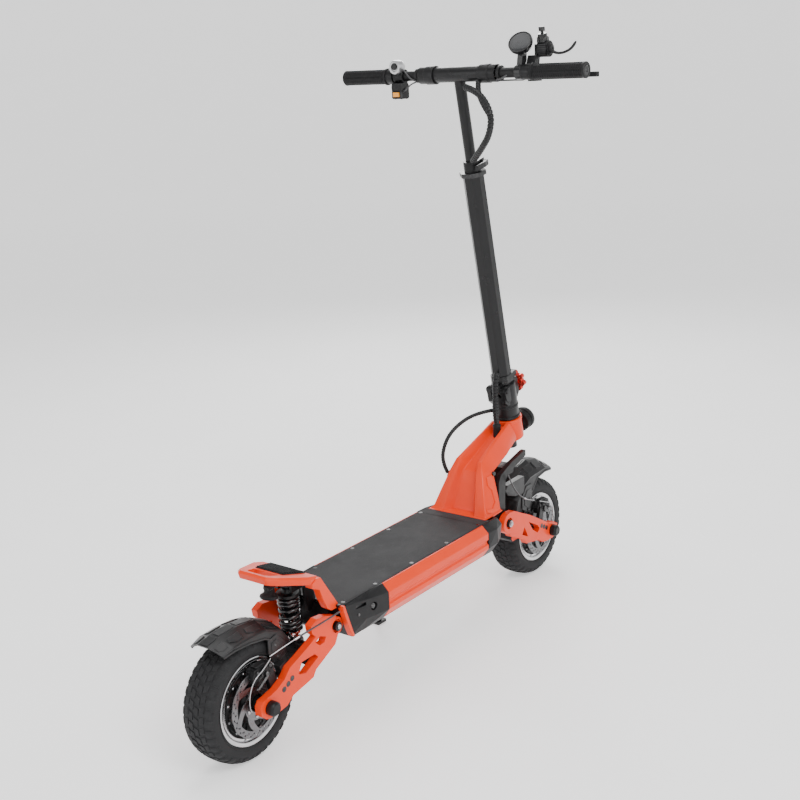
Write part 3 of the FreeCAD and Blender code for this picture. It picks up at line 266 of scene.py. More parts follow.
def glass_material(name, tint, rough=0.05, coat=1.0):
    m, nt, p = new_mat(name)
    v = coords(nt)
    nt.links.new(ramp(nt, noise(nt, v, 30, 3), [(0.3, shade(tint, 0.85)), (0.7, shade(tint, 1.15))]), p.inputs["Base Color"])
    nt.links.new(maprange(nt, noise(nt, v, 90, 4), 0.3, 0.7, rough, rough + 0.06), p.inputs["Roughness"])
    p.inputs["Coat Weight"].default_value = coat
    p.inputs["Coat Roughness"].default_value = 0.03
    p.inputs["Specular IOR Level"].default_value = 0.3
    return m


m_screen = glass_material("display_glass", (0.006, 0.007, 0.009), 0.12, 0.15)
m_lens = glass_material("lamp_lens", (0.55, 0.56, 0.58), 0.08)


# ---------------------------------------------------------------- mesh helpers (millimetres in, metres out)
def finish_mesh(name, me, mat, body, smooth=None, bevel=None, segs=2, replaces=(), origin=(0, 0, 0), blend=None, sub=0, weighted=True):
    ob = bpy.data.objects.new(name, me)
    bpy.context.scene.collection.objects.link(ob)
    mats = mat if isinstance(mat, (list, tuple)) else [mat]
    for m in mats:
        me.materials.append(m)
    bm = bmesh.new()
    bm.from_mesh(me)
    bmesh.ops.remove_doubles(bm, verts=bm.verts, dist=1e-7)
    bmesh.ops.recalc_face_normals(bm, faces=bm.faces)
    bm.to_mesh(me)
    bm.free()
    if smooth is not None:
        me.shade_smooth()
        me.set_sharp_from_angle(angle=math.radians(smooth))
    ob.location = Vector(origin) * K
    if sub:
        s = ob.modifiers.new("sub", "SUBSURF")
        s.levels = sub
        s.render_levels = sub
    if bevel:
        b = ob.modifiers.new("bevel", "BEVEL")
        b.width = bevel * K
        b.segments = segs
        b.limit_method = "ANGLE"
        b.angle_limit = math.radians(28)
        b.harden_normals = False
        if smooth is None:
            me.shade_smooth()
            me.set_sharp_from_angle(angle=math.radians(40))
    if blend:
        dg = bpy.context.evaluated_depsgraph_get()
        if ob.modifiers:
            me2 = bpy.data.meshes.new_from_object(ob.evaluated_get(dg))
            ob.modifiers.clear()
            ob.data = me2
        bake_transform(ob)
    else:
        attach(ob, body)
    if replaces:
        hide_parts(*replaces)
    return ob


def raw(verts, faces):
    me = bpy.data.meshes.new("m")
    me.from_pydata([Vector(v) * K for v in verts], [], faces)
    me.validate()
    return me


class Build:
    """Collects verts and faces of one piece, in millimetres."""

    def __init__(self):
        self.v, self.f, self.mi = [], [], []

    def add(self, verts, faces, mi=0):
        o = len(self.v)
        self.v += [tuple(x) for x in verts]
        self.f += [tuple(o + i for i in f) for f in faces]
        self.mi += [mi] * len(faces)
        return o

    def mesh(self):
        me = bpy.data.meshes.new("m")
        me.from_pydata([Vector(v) * K for v in self.v], [], self.f)
        for p, m in zip(me.polygons, self.mi):
            p.material_index = m
        return me

    def rings(self, rings, close=True, caps=True, mi=0):
        n = len(rings[0])
        vs = [p for r in rings for p in r]
        fs = []
        for i in range(len(rings) - 1):
            for j in range(n if close else n - 1):
                k = (j + 1) % n
                fs.append((i * n + j, i * n + k, (i + 1) * n + k, (i + 1) * n + j))
        if caps:
            fs.append(tuple(range(n - 1, -1, -1)))
            fs.append(tuple((len(rings) - 1) * n + j for j in range(n)))
        self.add(vs, fs, mi)

    def prism_y(self, xz, y0, y1, mi=0):
        n = len(xz)
        vs = [(x, y0, z) for x, z in xz] + [(x, y1, z) for x, z in xz]
        fs = [tuple(range(n)), tuple(range(2 * n - 1, n - 1, -1))]
        fs += [(i, i + n, (i + 1) % n + n, (i + 1) % n) for i in range(n)]
        self.add(vs, fs, mi)

    def revolve(self, prof, axis_o, axis_d, up, n=64, closed=True, mi=0, a0=0.0, a1=360.0):
        """prof: (along, radius) pairs; a ring per pair."""
        o, d = Vector(axis_o), Vector(axis_d).normalized()
        u = Vector(up)
        u = (u - d * u.dot(d)).normalized()
        w = d.cross(u)
        full = abs(a1 - a0 - 360) < 1e-6
        m = n if full else n + 1
        rings = []
        for i in range(m):
            a = math.radians(a0 + (a1 - a0) * i / n)
            e = u * math.cos(a) + w * math.sin(a)
            rings.append([o + d * t + e * r for t, r in prof])
        k = len(prof)
        vs = [p for r in rings for p in r]
        fs = []
        for i in range(m if full else m - 1):
            j = (i + 1) % m
            for q in range(k if closed else k - 1):
                s = (q + 1) % k
                fs.append((i * k + q, i * k + s, j * k + s, j * k + q))
        self.add(vs, fs, mi)

    def cyl(self, p0, p1, r, n=24, r1=None, ch=0.0, mi=0):
        p0, p1 = Vector(p0), Vector(p1)
        d = (p1 - p0)
        L = d.length
        r1 = r if r1 is None else r1
        up = Vector((0, 0, 1)) if abs(d.normalized().z) < 0.9 else Vector((1, 0, 0))
        c = min(ch, L / 3, r / 2, r1 / 2) if ch else 0
        prof = [(0, r - c), (c, r), (L - c, r1), (L, r1 - c)] if c else [(0, r), (L, r1)]
        d.normalize()
        u = (up - d * up.dot(d)).normalized()
        w = d.cross(u)
        rings = [[p0 + d * t + (u * math.cos(2 * math.pi * i / n) + w * math.sin(2 * math.pi * i / n)) * rr for i in range(n)] for t, rr in prof]
        self.rings(rings, mi=mi)

    def box(self, c, half, axes=((1, 0, 0), (0, 1, 0), (0, 0, 1)), mi=0):
        c = Vector(c)
        a = [Vector(x) for x in axes]
        vs = [c + a[0] * (sx * half[0]) + a[1] * (sy * half[1]) + a[2] * (sz * half[2]) for sx in (-1, 1) for sy in (-1, 1) for sz in (-1, 1)]
        fs = [(0, 1, 3, 2), (4, 6, 7, 5), (0, 4, 5, 1), (2, 3, 7, 6), (0, 2, 6, 4), (1, 5, 7, 3)]
        self.add(vs, fs, mi)


def spline(ctrl, n=120, order=3):
    """Samples a clamped uniform B-spline, the same line that a NURBS curve with end points takes."""
    P = [Vector(p) for p in ctrl]
    k = order
    m = len(P)
    knots = [0] * k + list(range(1, m - k + 1)) + [m - k + 1] * k

    def basis(i, kk, t):
        if kk == 1:
            return 1.0 if knots[i] <= t < knots[i + 1] else 0.0
        a = knots[i + kk - 1] - knots[i]
        b = knots[i + kk] - knots[i + 1]
        r = 0.0
        if a:
            r += (t - knots[i]) / a * basis(i, kk - 1, t)
        if b:
            r += (knots[i + kk] - t) / b * basis(i + 1, kk - 1, t)
        return r
    out = []
    tmax = m - k + 1
    for s in range(n + 1):
        t = min(tmax * s / n, tmax - 1e-9)
        q = Vector((0, 0, 0))
        for i in range(m):
            q += P[i] * basis(i, k, t)
        out.append(q)
    return out


def frames(line):
    """Parallel-transported frames along a line."""
    out = []
    t0 = (line[1] - line[0]).normalized()
    u = t0.orthogonal().normalized()
    for i, p in enumerate(line):
        a = line[max(0, i - 1)]
        b = line[min(len(line) - 1, i + 1)]
        t = (b - a).normalized()
        u = (u - t * u.dot(t)).normalized()
        out.append((p, t, u, t.cross(u)))
    return out


def sweep(B, line, rfun, n=16, mi=0):
    fr = frames(line)
    s = 0.0
    rings = []
    for i, (p, t, u, w) in enumerate(fr):
        if i:
            s += (line[i] - line[i - 1]).length
        rings.append([p + (u * math.cos(2 * math.pi * j / n) + w * math.sin(2 * math.pi * j / n)) * rfun(s, 2 * math.pi * j / n) for j in range(n)])
    B.rings(rings, mi=mi)


def wrap(r, pitch, depth):
    """Radius of a spiral-wrapped loom: a rounded ribbon with a narrow gap at each turn."""
    def f(s, a):
        ph = (s / pitch - a / (2 * math.pi)) % 1.0
        g = max(0.0, 1.0 - abs(ph - 0.5) / 0.5)
        return r - depth + depth * min(1.0, 1.5 * math.sqrt(max(0.0, g)))
    return f


# ---------------------------------------------------------------- shared geometry, as in the design
RAKE = math.radians(12)
SN, CS = math.sin(RAKE), math.cos(RAKE)
ES, EF, EY = Vector((-SN, 0, CS)), Vector((CS, 0, SN)), Vector((0, 1, 0))


def sf(s, f, y=0.0):
    return Vector((461.5, 0, 442.0)) + ES * s + EF * f + EY * y


BC = sf(852, 0)
BX, BZ = BC.x, BC.z
AX = {"rear": -540.0, "front": 540.0}
AZ = 127.5

# ---------------------------------------------------------------- tyres: carcass with moulded block tread
CARC = [(-30, 83), (-32.5, 86), (-36.5, 92), (-38.6, 100), (-38.2, 108), (-36.2, 115.4), (-31.2, 120.6), (-22.3, 123.7), (-11, 125.2), (0, 125.5),
        (11, 125.2), (22.3, 123.7), (31.2, 120.6), (36.2, 115.4), (38.2, 108), (38.6, 100), (36.5, 92), (32.5, 86), (30, 83)]
_prof = spline([(y, r, 0) for y, r in CARC], 160)
_arc = [0.0]
for _a, _b in zip(_prof, _prof[1:]):
    _arc.append(_arc[-1] + (_b - _a).length)
_mid = _arc[-1] / 2


def carc_at(w, h):
    """Point (y, r) on the carcass at arc length w from the crown, raised by h."""
    s = max(0.0, min(_arc[-1] - 1e-6, w + _mid))
    i = max(i for i, a in enumerate(_arc) if a <= s)
    i = min(i, len(_prof) - 2)
    k = (s - _arc[i]) / max(1e-9, _arc[i + 1] - _arc[i])
    p = _prof[i].lerp(_prof[i + 1], k)
    t = (_prof[min(i + 2, len(_prof) - 1)] - _prof[max(i - 1, 0)]).normalized()
    n = Vector((-t.y, t.x, 0))
    if n.y < 0 and abs(w) < 30:
        n = -n
    q = p + n * h
    return q.x, q.y


def tyre(tag):
    B = Build()
    prof = [(y, r) for y, r, _ in [(p.x, p.y, 0) for p in _prof[::4]]]
    inner = [(27, 82), (27, 100), (20, 112), (-20, 112), (-27, 100), (-27, 82)]
    B.revolve(prof + inner, (0, 0, 0), (0, 1, 0), (0, 0, 1), n=144)
    # bead line and rim guard rings on both sides
    for s in (-1, 1):
        B.revolve([(s * 36.4, 91.0), (s * 37.8, 92.6), (s * 38.3, 94.4), (s * 37.0, 95.0)], (0, 0, 0), (0, 1, 0), (0, 0, 1), n=144)
    pitch_n = 38

    def block(th0, w0, th1, w1, skew, h, inset=1.0, nu=2, nw=3, cut=0.0):
        """A tread block between two angles and two arc lengths, sheared by skew, with chamfered top edges."""
        def P(u, v, hh, ins):
            w = w0 + (w1 - w0) * v
            iw = ins / max(1e-6, abs(w1 - w0))
            it = ins / 122.0 / max(1e-6, abs(th1 - th0))
            uu = it + (1 - 2 * it) * u
            vv = iw + (1 - 2 * iw) * v
            w = w0 + (w1 - w0) * vv
            th = th0 + (th1 - th0) * uu + skew * (vv - 0.5) + cut * abs(vv - 0.5)
            y, r = carc_at(w, hh)
            return (r * math.sin(th), y, r * math.cos(th))
        h = max(0.7, h - 1.6)
        vs, fs = [], []
        loops = []
        for hh, ins in ((-1.5, 0.0), (h * 0.72, 0.25), (h, inset)):
            ring = []
            for i in range(nu + 1):
                ring.append(P(i / nu, 0, hh, ins))
            for j in range(1, nw + 1):
                ring.append(P(1, j / nw, hh, ins))
            for i in range(nu - 1, -1, -1):
                ring.append(P(i / nu, 1, hh, ins))
            for j in range(nw - 1, 0, -1):
                ring.append(P(0, j / nw, hh, ins))
            loops.append(ring)
        n = len(loops[0])
        vs = [p for r in loops for p in r]
        for i in range(2):
            for j in range(n):
                k = (j + 1) % n
                fs.append((i * n + j, i * n + k, (i + 1) * n + k, (i + 1) * n + j))
        # top grid
        top = {}
        ring_idx = []
        for i in range(nu + 1):
            ring_idx.append((i, 0))
        for j in range(1, nw + 1):
            ring_idx.append((nu, j))
        for i in range(nu - 1, -1, -1):
            ring_idx.append((i, nw))
        for j in range(nw - 1, 0, -1):
            ring_idx.append((0, j))
        for q, ij in enumerate(ring_idx):
            top[ij] = 2 * n + q
        for i in range(1, nu):
            for j in range(1, nw):
                top[(i, j)] = len(vs)
                vs.append(P(i / nu, j / nw, h, inset))
        for i in range(nu):
            for j in range(nw):
                fs.append((top[(i, j)], top[(i + 1, j)], top[(i + 1, j + 1)], top[(i, j + 1)]))
        fs.append(tuple(range(n - 1, -1, -1)))
        B.add(vs, fs)
    p = 2 * math.pi / pitch_n
    for k in range(pitch_n):
        t = k * p
        for s in (-1, 1):
            o = 0.0 if s > 0 else 0.5 * p
            # centre chevron halves
            block(t + o + 0.04 * p, s * 1.0, t + o + 0.72 * p, s * 12.2, s * 0.20 * p, 3.4)
            # middle row
            block(t + o + 0.24 * p, s * 13.6, t + o + 0.92 * p, s * 24.6, -s * 0.16 * p, 3.3)
            # shoulder lugs, long and short in turn, wrapping down the side
            if k % 2 == 0:
                block(t + o + 0.00 * p, s * 26.0, t + o + 0.70 * p, s * 44.0, s * 0.06 * p, 2.9, nw=5)
            else:
                block(t + o + 0.00 * p, s * 26.0, t + o + 0.66 * p, s * 38.5, s * 0.06 * p, 2.9, nw=4)
                block(t + o + 0.10 * p, s * 40.4, t + o + 0.45 * p, s * 45.0, 0, 1.5, inset=0.5, nw=2)
    me = B.mesh()
    return finish_mesh(tag + "_tyre_tread", me, m_tyre, tag + "_wheel", smooth=32, replaces=(tag + "_tyre",), origin=(AX[tag], 0, AZ))


def rim(tag):
    cx = AX[tag]
    # bright lips
    B = Build()
    for s in (-1, 1):
        prof = [(s * 30.5, 79.5), (s * 33.5, 80.2), (s * 35.2, 82.2), (s * 35.8, 85.5), (s * 36.3, 88.3), (s * 35.4, 89.8), (s * 33.6, 89.2), (s * 33.0, 86.0), (s * 31.8, 83.4), (s * 29.0, 82.2), (s * 26.0, 81.6), (s * 26.0, 79.2)]
        B.revolve(prof, (0, 0, 0), (0, 1, 0), (0, 0, 1), n=128)
        # inner polished step
        B.revolve([(s * 30.6, 79.6), (s * 31.6, 76.4), (s * 30.8, 74.2), (s * 28.6, 73.6), (s * 26.0, 74.5), (s * 26.0, 79.3)], (0, 0, 0), (0, 1, 0), (0, 0, 1), n=128)
    finish_mesh(tag + "_rim_lips", B.mesh(), m_lip, tag + "_wheel", smooth=40, replaces=(tag + "_rim",), origin=(cx, 0, AZ))
    # motor covers with cooling ribs and hub
    B = Build()
    B.revolve([(-27.0, 81.0), (27.0, 81.0), (27, 76), (-27, 76)], (0, 0, 0), (0, 1, 0), (0, 0, 1), n=96)
    for s in (-1, 1):
        prof = [(s * 26.5, 80.0), (s * 26.8, 74.5), (s * 27.2, 71.5), (s * 30.4, 70.0), (s * 30.6, 63.0), (s * 28.9, 61.8), (s * 28.9, 44.0), (s * 31.2, 42.5), (s * 32.2, 33.0),
                (s * 33.6, 31.0), (s * 41.6 if s < 0 else s * 34.4, 25.5), (s * 41.9 if s < 0 else s * 34.8, 24.0), (s * 41.9 if s < 0 else s * 34.8, 17.7), (s * 22, 17.7), (s * 22, 80.0)]
        B.revolve(prof, (0, 0, 0), (0, 1, 0), (0, 0, 1), n=96)
        for k in range(18):
            a = math.radians(20 * k)
            e, t = Vector((math.sin(a), 0, math.cos(a))), Vector((math.cos(a), 0, -math.sin(a)))
            B.box(e * 53 + Vector((0, s * 29.4, 0)), (9.4, 1.1, 1.0), (e, (0, 1, 0), t))
        for k in range(6):
            a = math.radians(60 * k + 30)
            e, t = Vector((math.sin(a), 0, math.cos(a))), Vector((math.cos(a), 0, -math.sin(a)))
            B.box(e * 52 + Vector((0, s * 29.6, 0)), (12, 1.7, 3.6), (e, (0, 1, 0), t))
    finish_mesh(tag + "_motor_covers", B.mesh(), m_motor, tag + "_wheel", smooth=35, bevel=0.5, segs=2, origin=(cx, 0, AZ))
    # cover screws, disc screws and valve stem
    B = Build()
    for s in (-1, 1):
        for k in range(12):
            a = math.radians(30 * k + 15)
            e = Vector((math.sin(a), 0, math.cos(a))) * 66.5
            B.cyl(e + Vector((0, s * 29.5, 0)), e + Vector((0, s * 32.6, 0)), 2.7, n=14, ch=0.6)
            B.cyl(e + Vector((0, s * 32.5, 0)), e + Vector((0, s * 32.9, 0)), 1.4, n=6)
    for k in range(6):
        a = math.radians(60 * k + 10)
        e = Vector((math.sin(a), 0, math.cos(a))) * 26.5
        B.cyl(e + Vector((0, -45.9, 0)), e + Vector((0, -48.6, 0)), 3.6, n=18, ch=0.8)
        B.cyl(e + Vector((0, -48.5, 0)), e + Vector((0, -48.9, 0)), 1.7, n=6)
    a = math.radians(200)
    e = Vector((math.sin(a), 0, math.cos(a)))
    B.cyl(e * 80 + Vector((0, -24, 0)), e * 75.5 + Vector((0, -32.0, 0)), 2.9, n=16, ch=0.5)
    finish_mesh(tag + "_wheel_screws", B.mesh(), m_steel, tag + "_wheel", smooth=35, origin=(cx, 0, AZ))


def rotor(tag):
    """Brake disc cut from sheet: two rings of holes and six swept arms."""
    cx = AX[tag]
    cu = bpy.data.curves.new("rot", "CURVE")
    cu.dimensions = "2D"
    cu.fill_mode = "BOTH"
    cu.extrude = 0.95 * K
    cu.bevel_depth = 0.12 * K
    cu.bevel_resolution = 0
    cu.resolution_u = 6

    def loop(pts):
        s = cu.splines.new("POLY")
        s.points.add(len(pts) - 1)
        for q, (x, y) in zip(s.points, pts):
            q.co = (x * K, y * K, 0, 1)
        s.use_cyclic_u = True

    def circle(x, y, r, n):
        loop([(x + r * math.cos(2 * math.pi * i / n), y + r * math.sin(2 * math.pi * i / n)) for i in range(n)])
    # wavy outer edge
    loop([((69.4 + 0.5 * math.cos(12 * 2 * math.pi * i / 240)) * math.cos(2 * math.pi * i / 240), (69.4 + 0.5 * math.cos(12 * 2 * math.pi * i / 240)) * math.sin(2 * math.pi * i / 240)) for i in range(240)])
    circle(0, 0, 18.0, 60)
    for k in range(48):
        a = 2 * math.pi * k / 48
        rr = 65.6 if k % 2 else 60.4
        circle(rr * math.cos(a), rr * math.sin(a), 2.15, 12)
    for k in range(24):
        a = 2 * math.pi * (k + 0.5) / 24 + 0.065
        circle(63.1 * math.cos(a), 63.1 * math.sin(a), 1.25, 10)
    # openings between the swept arms
    for k in range(6):
        a = 2 * math.pi * k / 6
        pts = []
        n = 10
        for i in range(n + 1):
            r = 34 + (55.0 - 34) * i / n
            t = a + 0.12 + 0.020 * (r - 34)
            pts.append((r * math.cos(t), r * math.sin(t)))
        t_end = a + 0.12 + 0.020 * (55.0 - 34)
        span = 2 * math.pi / 6 - 0.30
        for i in range(1, n + 1):
            t = t_end + span * i / n
            pts.append((55.0 * math.cos(t), 55.0 * math.sin(t)))
        for i in range(1, n + 1):
            r = 55.0 - (55.0 - 34) * i / n
            t = a + 0.12 + span * (0.62 + 0.38 * (r - 34) / 21.0) + 0.020 * (r - 34)
            pts.append((r * math.cos(t), r * math.sin(t)))
        t_in = a + 0.12 + span * 0.62
        for i in range(1, n):
            t = t_in - span * 0.62 * i / n
            pts.append((34 * math.cos(t), 34 * math.sin(t)))
        loop(pts)
    tmp = bpy.data.objects.new("rot", cu)
    bpy.context.scene.collection.objects.link(tmp)
    dg = bpy.context.evaluated_depsgraph_get()
    me = bpy.data.meshes.new_from_object(tmp.evaluated_get(dg))
    bpy.data.objects.remove(tmp)
    me.transform(Matrix.Rotation(math.radians(90), 4, "X"))
    me.transform(Matrix.Translation((0, -0.0452, 0)))
    me.materials.clear()
    finish_mesh(tag + "_brake_disc", me, m_disc, tag + "_wheel", smooth=30, replaces=(tag + "_rotor",), origin=(cx, 0, AZ))


for tag in ("rear", "front"):
    tyre(tag)
    rim(tag)
    rotor(tag)


# ---------------------------------------------------------------- coil springs between the damper body and its rod
def coil(tag, sign):
    top, low = Vector((sign * 386.0, 0, 305.0)), Vector((sign * 380.0, 0, 186.0))
    ax = (top - low)
    n = ax.length
    ax.normalize()
    u = Vector((0, 1, 0))
    w = ax.cross(u)
    z0, z1, turns, R, rw = 24.5, n - 23.5, 5.6, 19.6, 4.3
    line = []
    steps = 260
    for i in range(steps + 1):
        t = i / steps
        # flat end turns
        k = t + 0.055 * math.sin(2 * math.pi * t) * -1
        h = z0 + rw + (z1 - z0 - 2 * rw) * max(0.0, min(1.0, k))
        a = 2 * math.pi * turns * t
        line.append(low + ax * h + u * (R * math.cos(a)) + w * (R * math.sin(a)))
    B = Build()
    sweep(B, line, lambda s, a: rw, n=12)
    finish_mesh(tag + "_coil", B.mesh(), m_spring, None, smooth=60, replaces=(tag + "_spring",),
                blend=(tag + "_shock", tag + "_shock_rod", tuple((low + ax * (n - 24)) * K), tuple((low + ax * 26) * K)))


coil("rear", -1)
coil("front", 1)


# ---------------------------------------------------------------- mudguards: faceted shells with a folded skirt
def guard(tag, sign, spans, plate):
    B = Build()
    rings = []
    for a, r, w, r1, r0 in spans:
        ca, sa = math.cos(math.radians(a)), math.sin(math.radians(a))

        def P(rad, y):
            return (sign * (540.0 - sa * rad), y, AZ + ca * rad)
        m = r1 + (r - r1) * 0.36
        half_o = [(r + 0.8, 0), (r + 0.8, 12.5), (r - 1.2, 16.0), (m + 0.6, 33.0), (r1 + 1.4, w - 2.2), (r1 - 1.0, w), (r1 - 4.0, w - 0.9), (r0 + 5.0, w - 0.9), (r0 + 3.4, w + 0.6), (r0, w + 0.6)]
        half_i = [(r0, w - 2.2), (r1 - 3.5, w - 3.6), (m - 3.2, 31.6), (r - 4.0, 15.0), (r - 3.6, 0)]
        o = [P(rr, -y) for rr, y in reversed(half_o)] + [P(rr, y) for rr, y in half_o[1:]]
        i = [P(rr, y) for rr, y in half_i] + [P(rr, -y) for rr, y in reversed(half_i[:-1])]
        rings.append(o + i)
    B.rings(rings, close=True, caps=True)
    finish_mesh(tag + "_guard_shell", B.mesh(), m_guard, tag + "_arm", smooth=9, bevel=0.8, segs=2, replaces=(tag + "_mudguard",))
    # raised plates on the crown, one to a span, with cut corners
    B = Build()
    for (a0, r_0, w0, ra0, _), (a1, r_1, w1, ra1, _) in zip(spans[:-1], spans[1:]):
        def Q(k, y, lift):
            a = a0 + (a1 - a0) * k
            ca, sa = math.cos(math.radians(a)), math.sin(math.radians(a))
            q0 = Vector((sign * (540.0 - math.sin(math.radians(a0)) * (r_0 + lift)), y, AZ + math.cos(math.radians(a0)) * (r_0 + lift)))
            q1 = Vector((sign * (540.0 - math.sin(math.radians(a1)) * (r_1 + lift)), y, AZ + math.cos(math.radians(a1)) * (r_1 + lift)))
            return q0.lerp(q1, k)
        out = [(0.08, -9.5), (0.08, 9.5), (0.30, 11.5), (0.90, 8.0), (0.90, -8.0), (0.30, -11.5)]
        lo = [Q(k, y, -0.6) for k, y in out]
        hi = [Q(k, y * 0.9, 2.0) for k, y in out]
        n = len(out)
        B.add(lo + hi, [tuple(range(n)), tuple(range(2 * n - 1, n - 1, -1))] + [(i, (i + 1) % n, (i + 1) % n + n, i + n) for i in range(n)])
        for s in (-1, 1):
            def S(k, q, lift):
                # on the side facet, from its upper edge to the skirt
                up_, dn = Q(k, s * 18.0, -1.4), None
                a = a0 + (a1 - a0) * k
                e0 = Vector((sign * (540.0 - math.sin(math.radians(a0)) * ra0), s * (w0 - 3.5), AZ + math.cos(math.radians(a0)) * ra0))
                e1 = Vector((sign * (540.0 - math.sin(math.radians(a1)) * ra1), s * (w1 - 3.5), AZ + math.cos(math.radians(a1)) * ra1))
                dn = e0.lerp(e1, k) + Vector((0, 0, 1.0))
                c = up_.lerp(dn, q)
                out_n = Vector((0, s * 0.5, 0.85))
                return c + out_n * (lift + 1.9 * math.sin(math.pi * q) * 0.6)
            ol = [(0.14, 0.16), (0.86, 0.22), (0.92, 0.62), (0.62, 0.86), (0.20, 0.80)]
            lo = [S(k, q, -0.8) for k, q in ol]
            hi = [S(0.5 + (k - 0.5) * 0.93, 0.5 + (q - 0.5) * 0.93, 1.3) for k, q in ol]
            n2 = len(ol)
            B.add(lo + hi, [tuple(range(n2)), tuple(range(2 * n2 - 1, n2 - 1, -1))] + [(i, (i + 1) % n2, (i + 1) % n2 + n2, i + n2) for i in range(n2)])
    finish_mesh(tag + "_guard_plates", B.mesh(), m_guard, tag + "_arm", smooth=9, bevel=0.5, segs=2)
    B = Build()
    for s in (-1, 1):
        y0, y1 = sorted((s * 43.6, s * 47.0))
        B.prism_y([(sign * x, z) for x, z in plate], y0, y1)
        y2, y3 = sorted((s * 47.0, s * 48.4))
        cx = sum(x for x, _ in plate) / len(plate)
        cz = sum(z for _, z in plate) / len(plate)
        B.prism_y([(sign * (cx + (x - cx) * 0.62), cz + (z - cz) * 0.66) for x, z in plate], y2, y3)
        y4, y5 = sorted((s * 47.0, s * 64.0))
        B.prism_y([(sign * x, z) for x, z in [(462, 160), (480, 156), (490, 186), (474, 192)]], y4, y5)
    finish_mesh(tag + "_guard_stays", B.mesh(), m_guard, tag + "_arm", smooth=9, bevel=0.8, segs=2)
    B = Build()
    for s in (-1, 1):
        for x, z in ((476, 198), (482, 226)):
            B.cyl((sign * x, s * 46.5, z), (sign * x, s * 49.8, z), 3.4, n=18, ch=0.8)
            B.cyl((sign * x, s * 49.7, z), (sign * x, s * 50.1, z), 1.7, n=6)
    finish_mesh(tag + "_guard_screws", B.mesh(), m_dark_steel, tag + "_arm", smooth=35)


REAR_SPANS = [(50, 148, 44, 138, 116), (35, 153, 46, 144, 119), (16, 154, 46, 142, 123), (-3, 154, 46, 139, 126), (-20, 160, 46, 146, 136), (-31, 167, 43, 151, 144)]
FRONT_SPANS = [(76, 138, 42, 131, 120), (60, 147, 43, 138, 117), (46, 163, 45, 150, 120), (30, 180, 46, 160, 116), (18, 184, 46, 160, 118), (5, 184, 46, 155, 139), (-10, 177, 45, 158, 146), (-24, 169, 42, 158, 152)]
guard("rear", -1, REAR_SPANS, [(450, 196), (484, 182), (500, 214), (500, 240), (476, 246), (452, 222)])
guard("front", 1, FRONT_SPANS, [(448, 206), (486, 182), (499, 216), (496, 262), (470, 262), (450, 240)])
# rear wings of the front guard, one each side of the damper
B = Build()
for s in (-1, 1):
    y0, y1 = sorted((s * 29.0, s * 45.5))
    B.prism_y([(462, 291), (462, 286), (384, 284), (374, 276), (371, 279), (382, 289)], y0, y1)
    y0, y1 = sorted((s * 43.0, s * 45.8))
    B.prism_y([(462, 290), (382, 288), (372, 278), (384, 262), (420, 250), (462, 246)], y0, y1)
finish_mesh("front_guard_wings", B.mesh(), m_guard, "front_arm", smooth=9, bevel=0.7, segs=2)

# ---------------------------------------------------------------- neck casting
B = Build()


def full(half):
    return [Vector(p) for p in half] + [Vector((x, -y, z)) for x, y, z in reversed(half) if abs(y) > 1e-6]


def sec(z, pts):
    return full([(x, y, z) for x, y in pts])


secs = [
    sec(258.0, [(252, 0), (252, 30), (249, 33), (231.5, 43), (228.5, 46), (226, 73), (225, 79), (262, 79.5), (298, 78), (300, 74), (300, 0)]),
    sec(266.0, [(255, 0), (255, 29), (252, 32), (236, 42), (234, 45), (235, 70.5), (237, 74), (264, 75.5), (299, 75), (301, 71), (301, 0)]),
    sec(290.0, [(262, 0), (262, 26), (259, 29), (244.5, 38), (242.5, 41), (243.5, 63), (246, 66.5), (270, 69.5), (301, 70), (302, 66), (302, 0)]),
    sec(322.0, [(274, 0), (274, 22), (271, 25), (257.5, 32), (255.5, 35), (256, 52.5), (259, 56), (279, 60), (302, 62), (303, 58), (303, 0)]),
    sec(350.0, [(285, 0), (285, 17), (282, 20), (269.5, 27), (267.5, 30), (268, 44), (271, 47.5), (287, 52), (303, 55), (304, 51), (304, 0)]),
]
tilted = [
    [(300, 0, 361), (300, 14, 361), (297, 17, 364), (284, 24, 374), (281.5, 27, 377), (282, 36, 376.5), (285, 40, 372), (318, 48, 361), (338, 50, 358), (344, 46, 357), (345, 0, 357)],
    [(341, 0, 381), (341, 12, 381), (339, 15, 384), (330, 21, 393), (328, 24, 397), (329, 31, 396.5), (334, 35, 391), (362, 43, 379), (384, 44, 369), (389, 40, 368), (390, 0, 368)],
    [(393, 0, 405), (393, 11, 405), (392, 13.5, 408), (386, 18, 416), (384, 20.5, 420), (387, 27.5, 418.5), (391, 30, 413), (408, 37, 399), (424, 38, 384), (429, 34, 382), (430, 0, 381)],
    [(428, 0, 426), (428, 10, 426), (427, 13, 429), (425, 16, 434), (425, 18, 437), (428, 24.5, 435.5), (432, 27, 431), (440, 31, 414), (452, 31, 392), (458, 28, 388), (459, 0, 385)],
]
rings = secs + [full(s) for s in tilted]
B.rings(rings, mi=0)
finish_mesh("neck_casting", B.mesh(), m_orange, "chassis", bevel=1.1, segs=2, replaces=("neck_frame",))
B = Build()
B.revolve([(-57.5, 21), (-57.5, 32.5), (-55.5, 34.2), (-8, 34.2), (-6.5, 35.6), (-1.6, 35.6), (-0.2, 34.2), (-0.2, 21)], sf(0, 0), ES, EF, n=72)
finish_mesh("head_tube", B.mesh(), m_orange, "chassis", smooth=35)


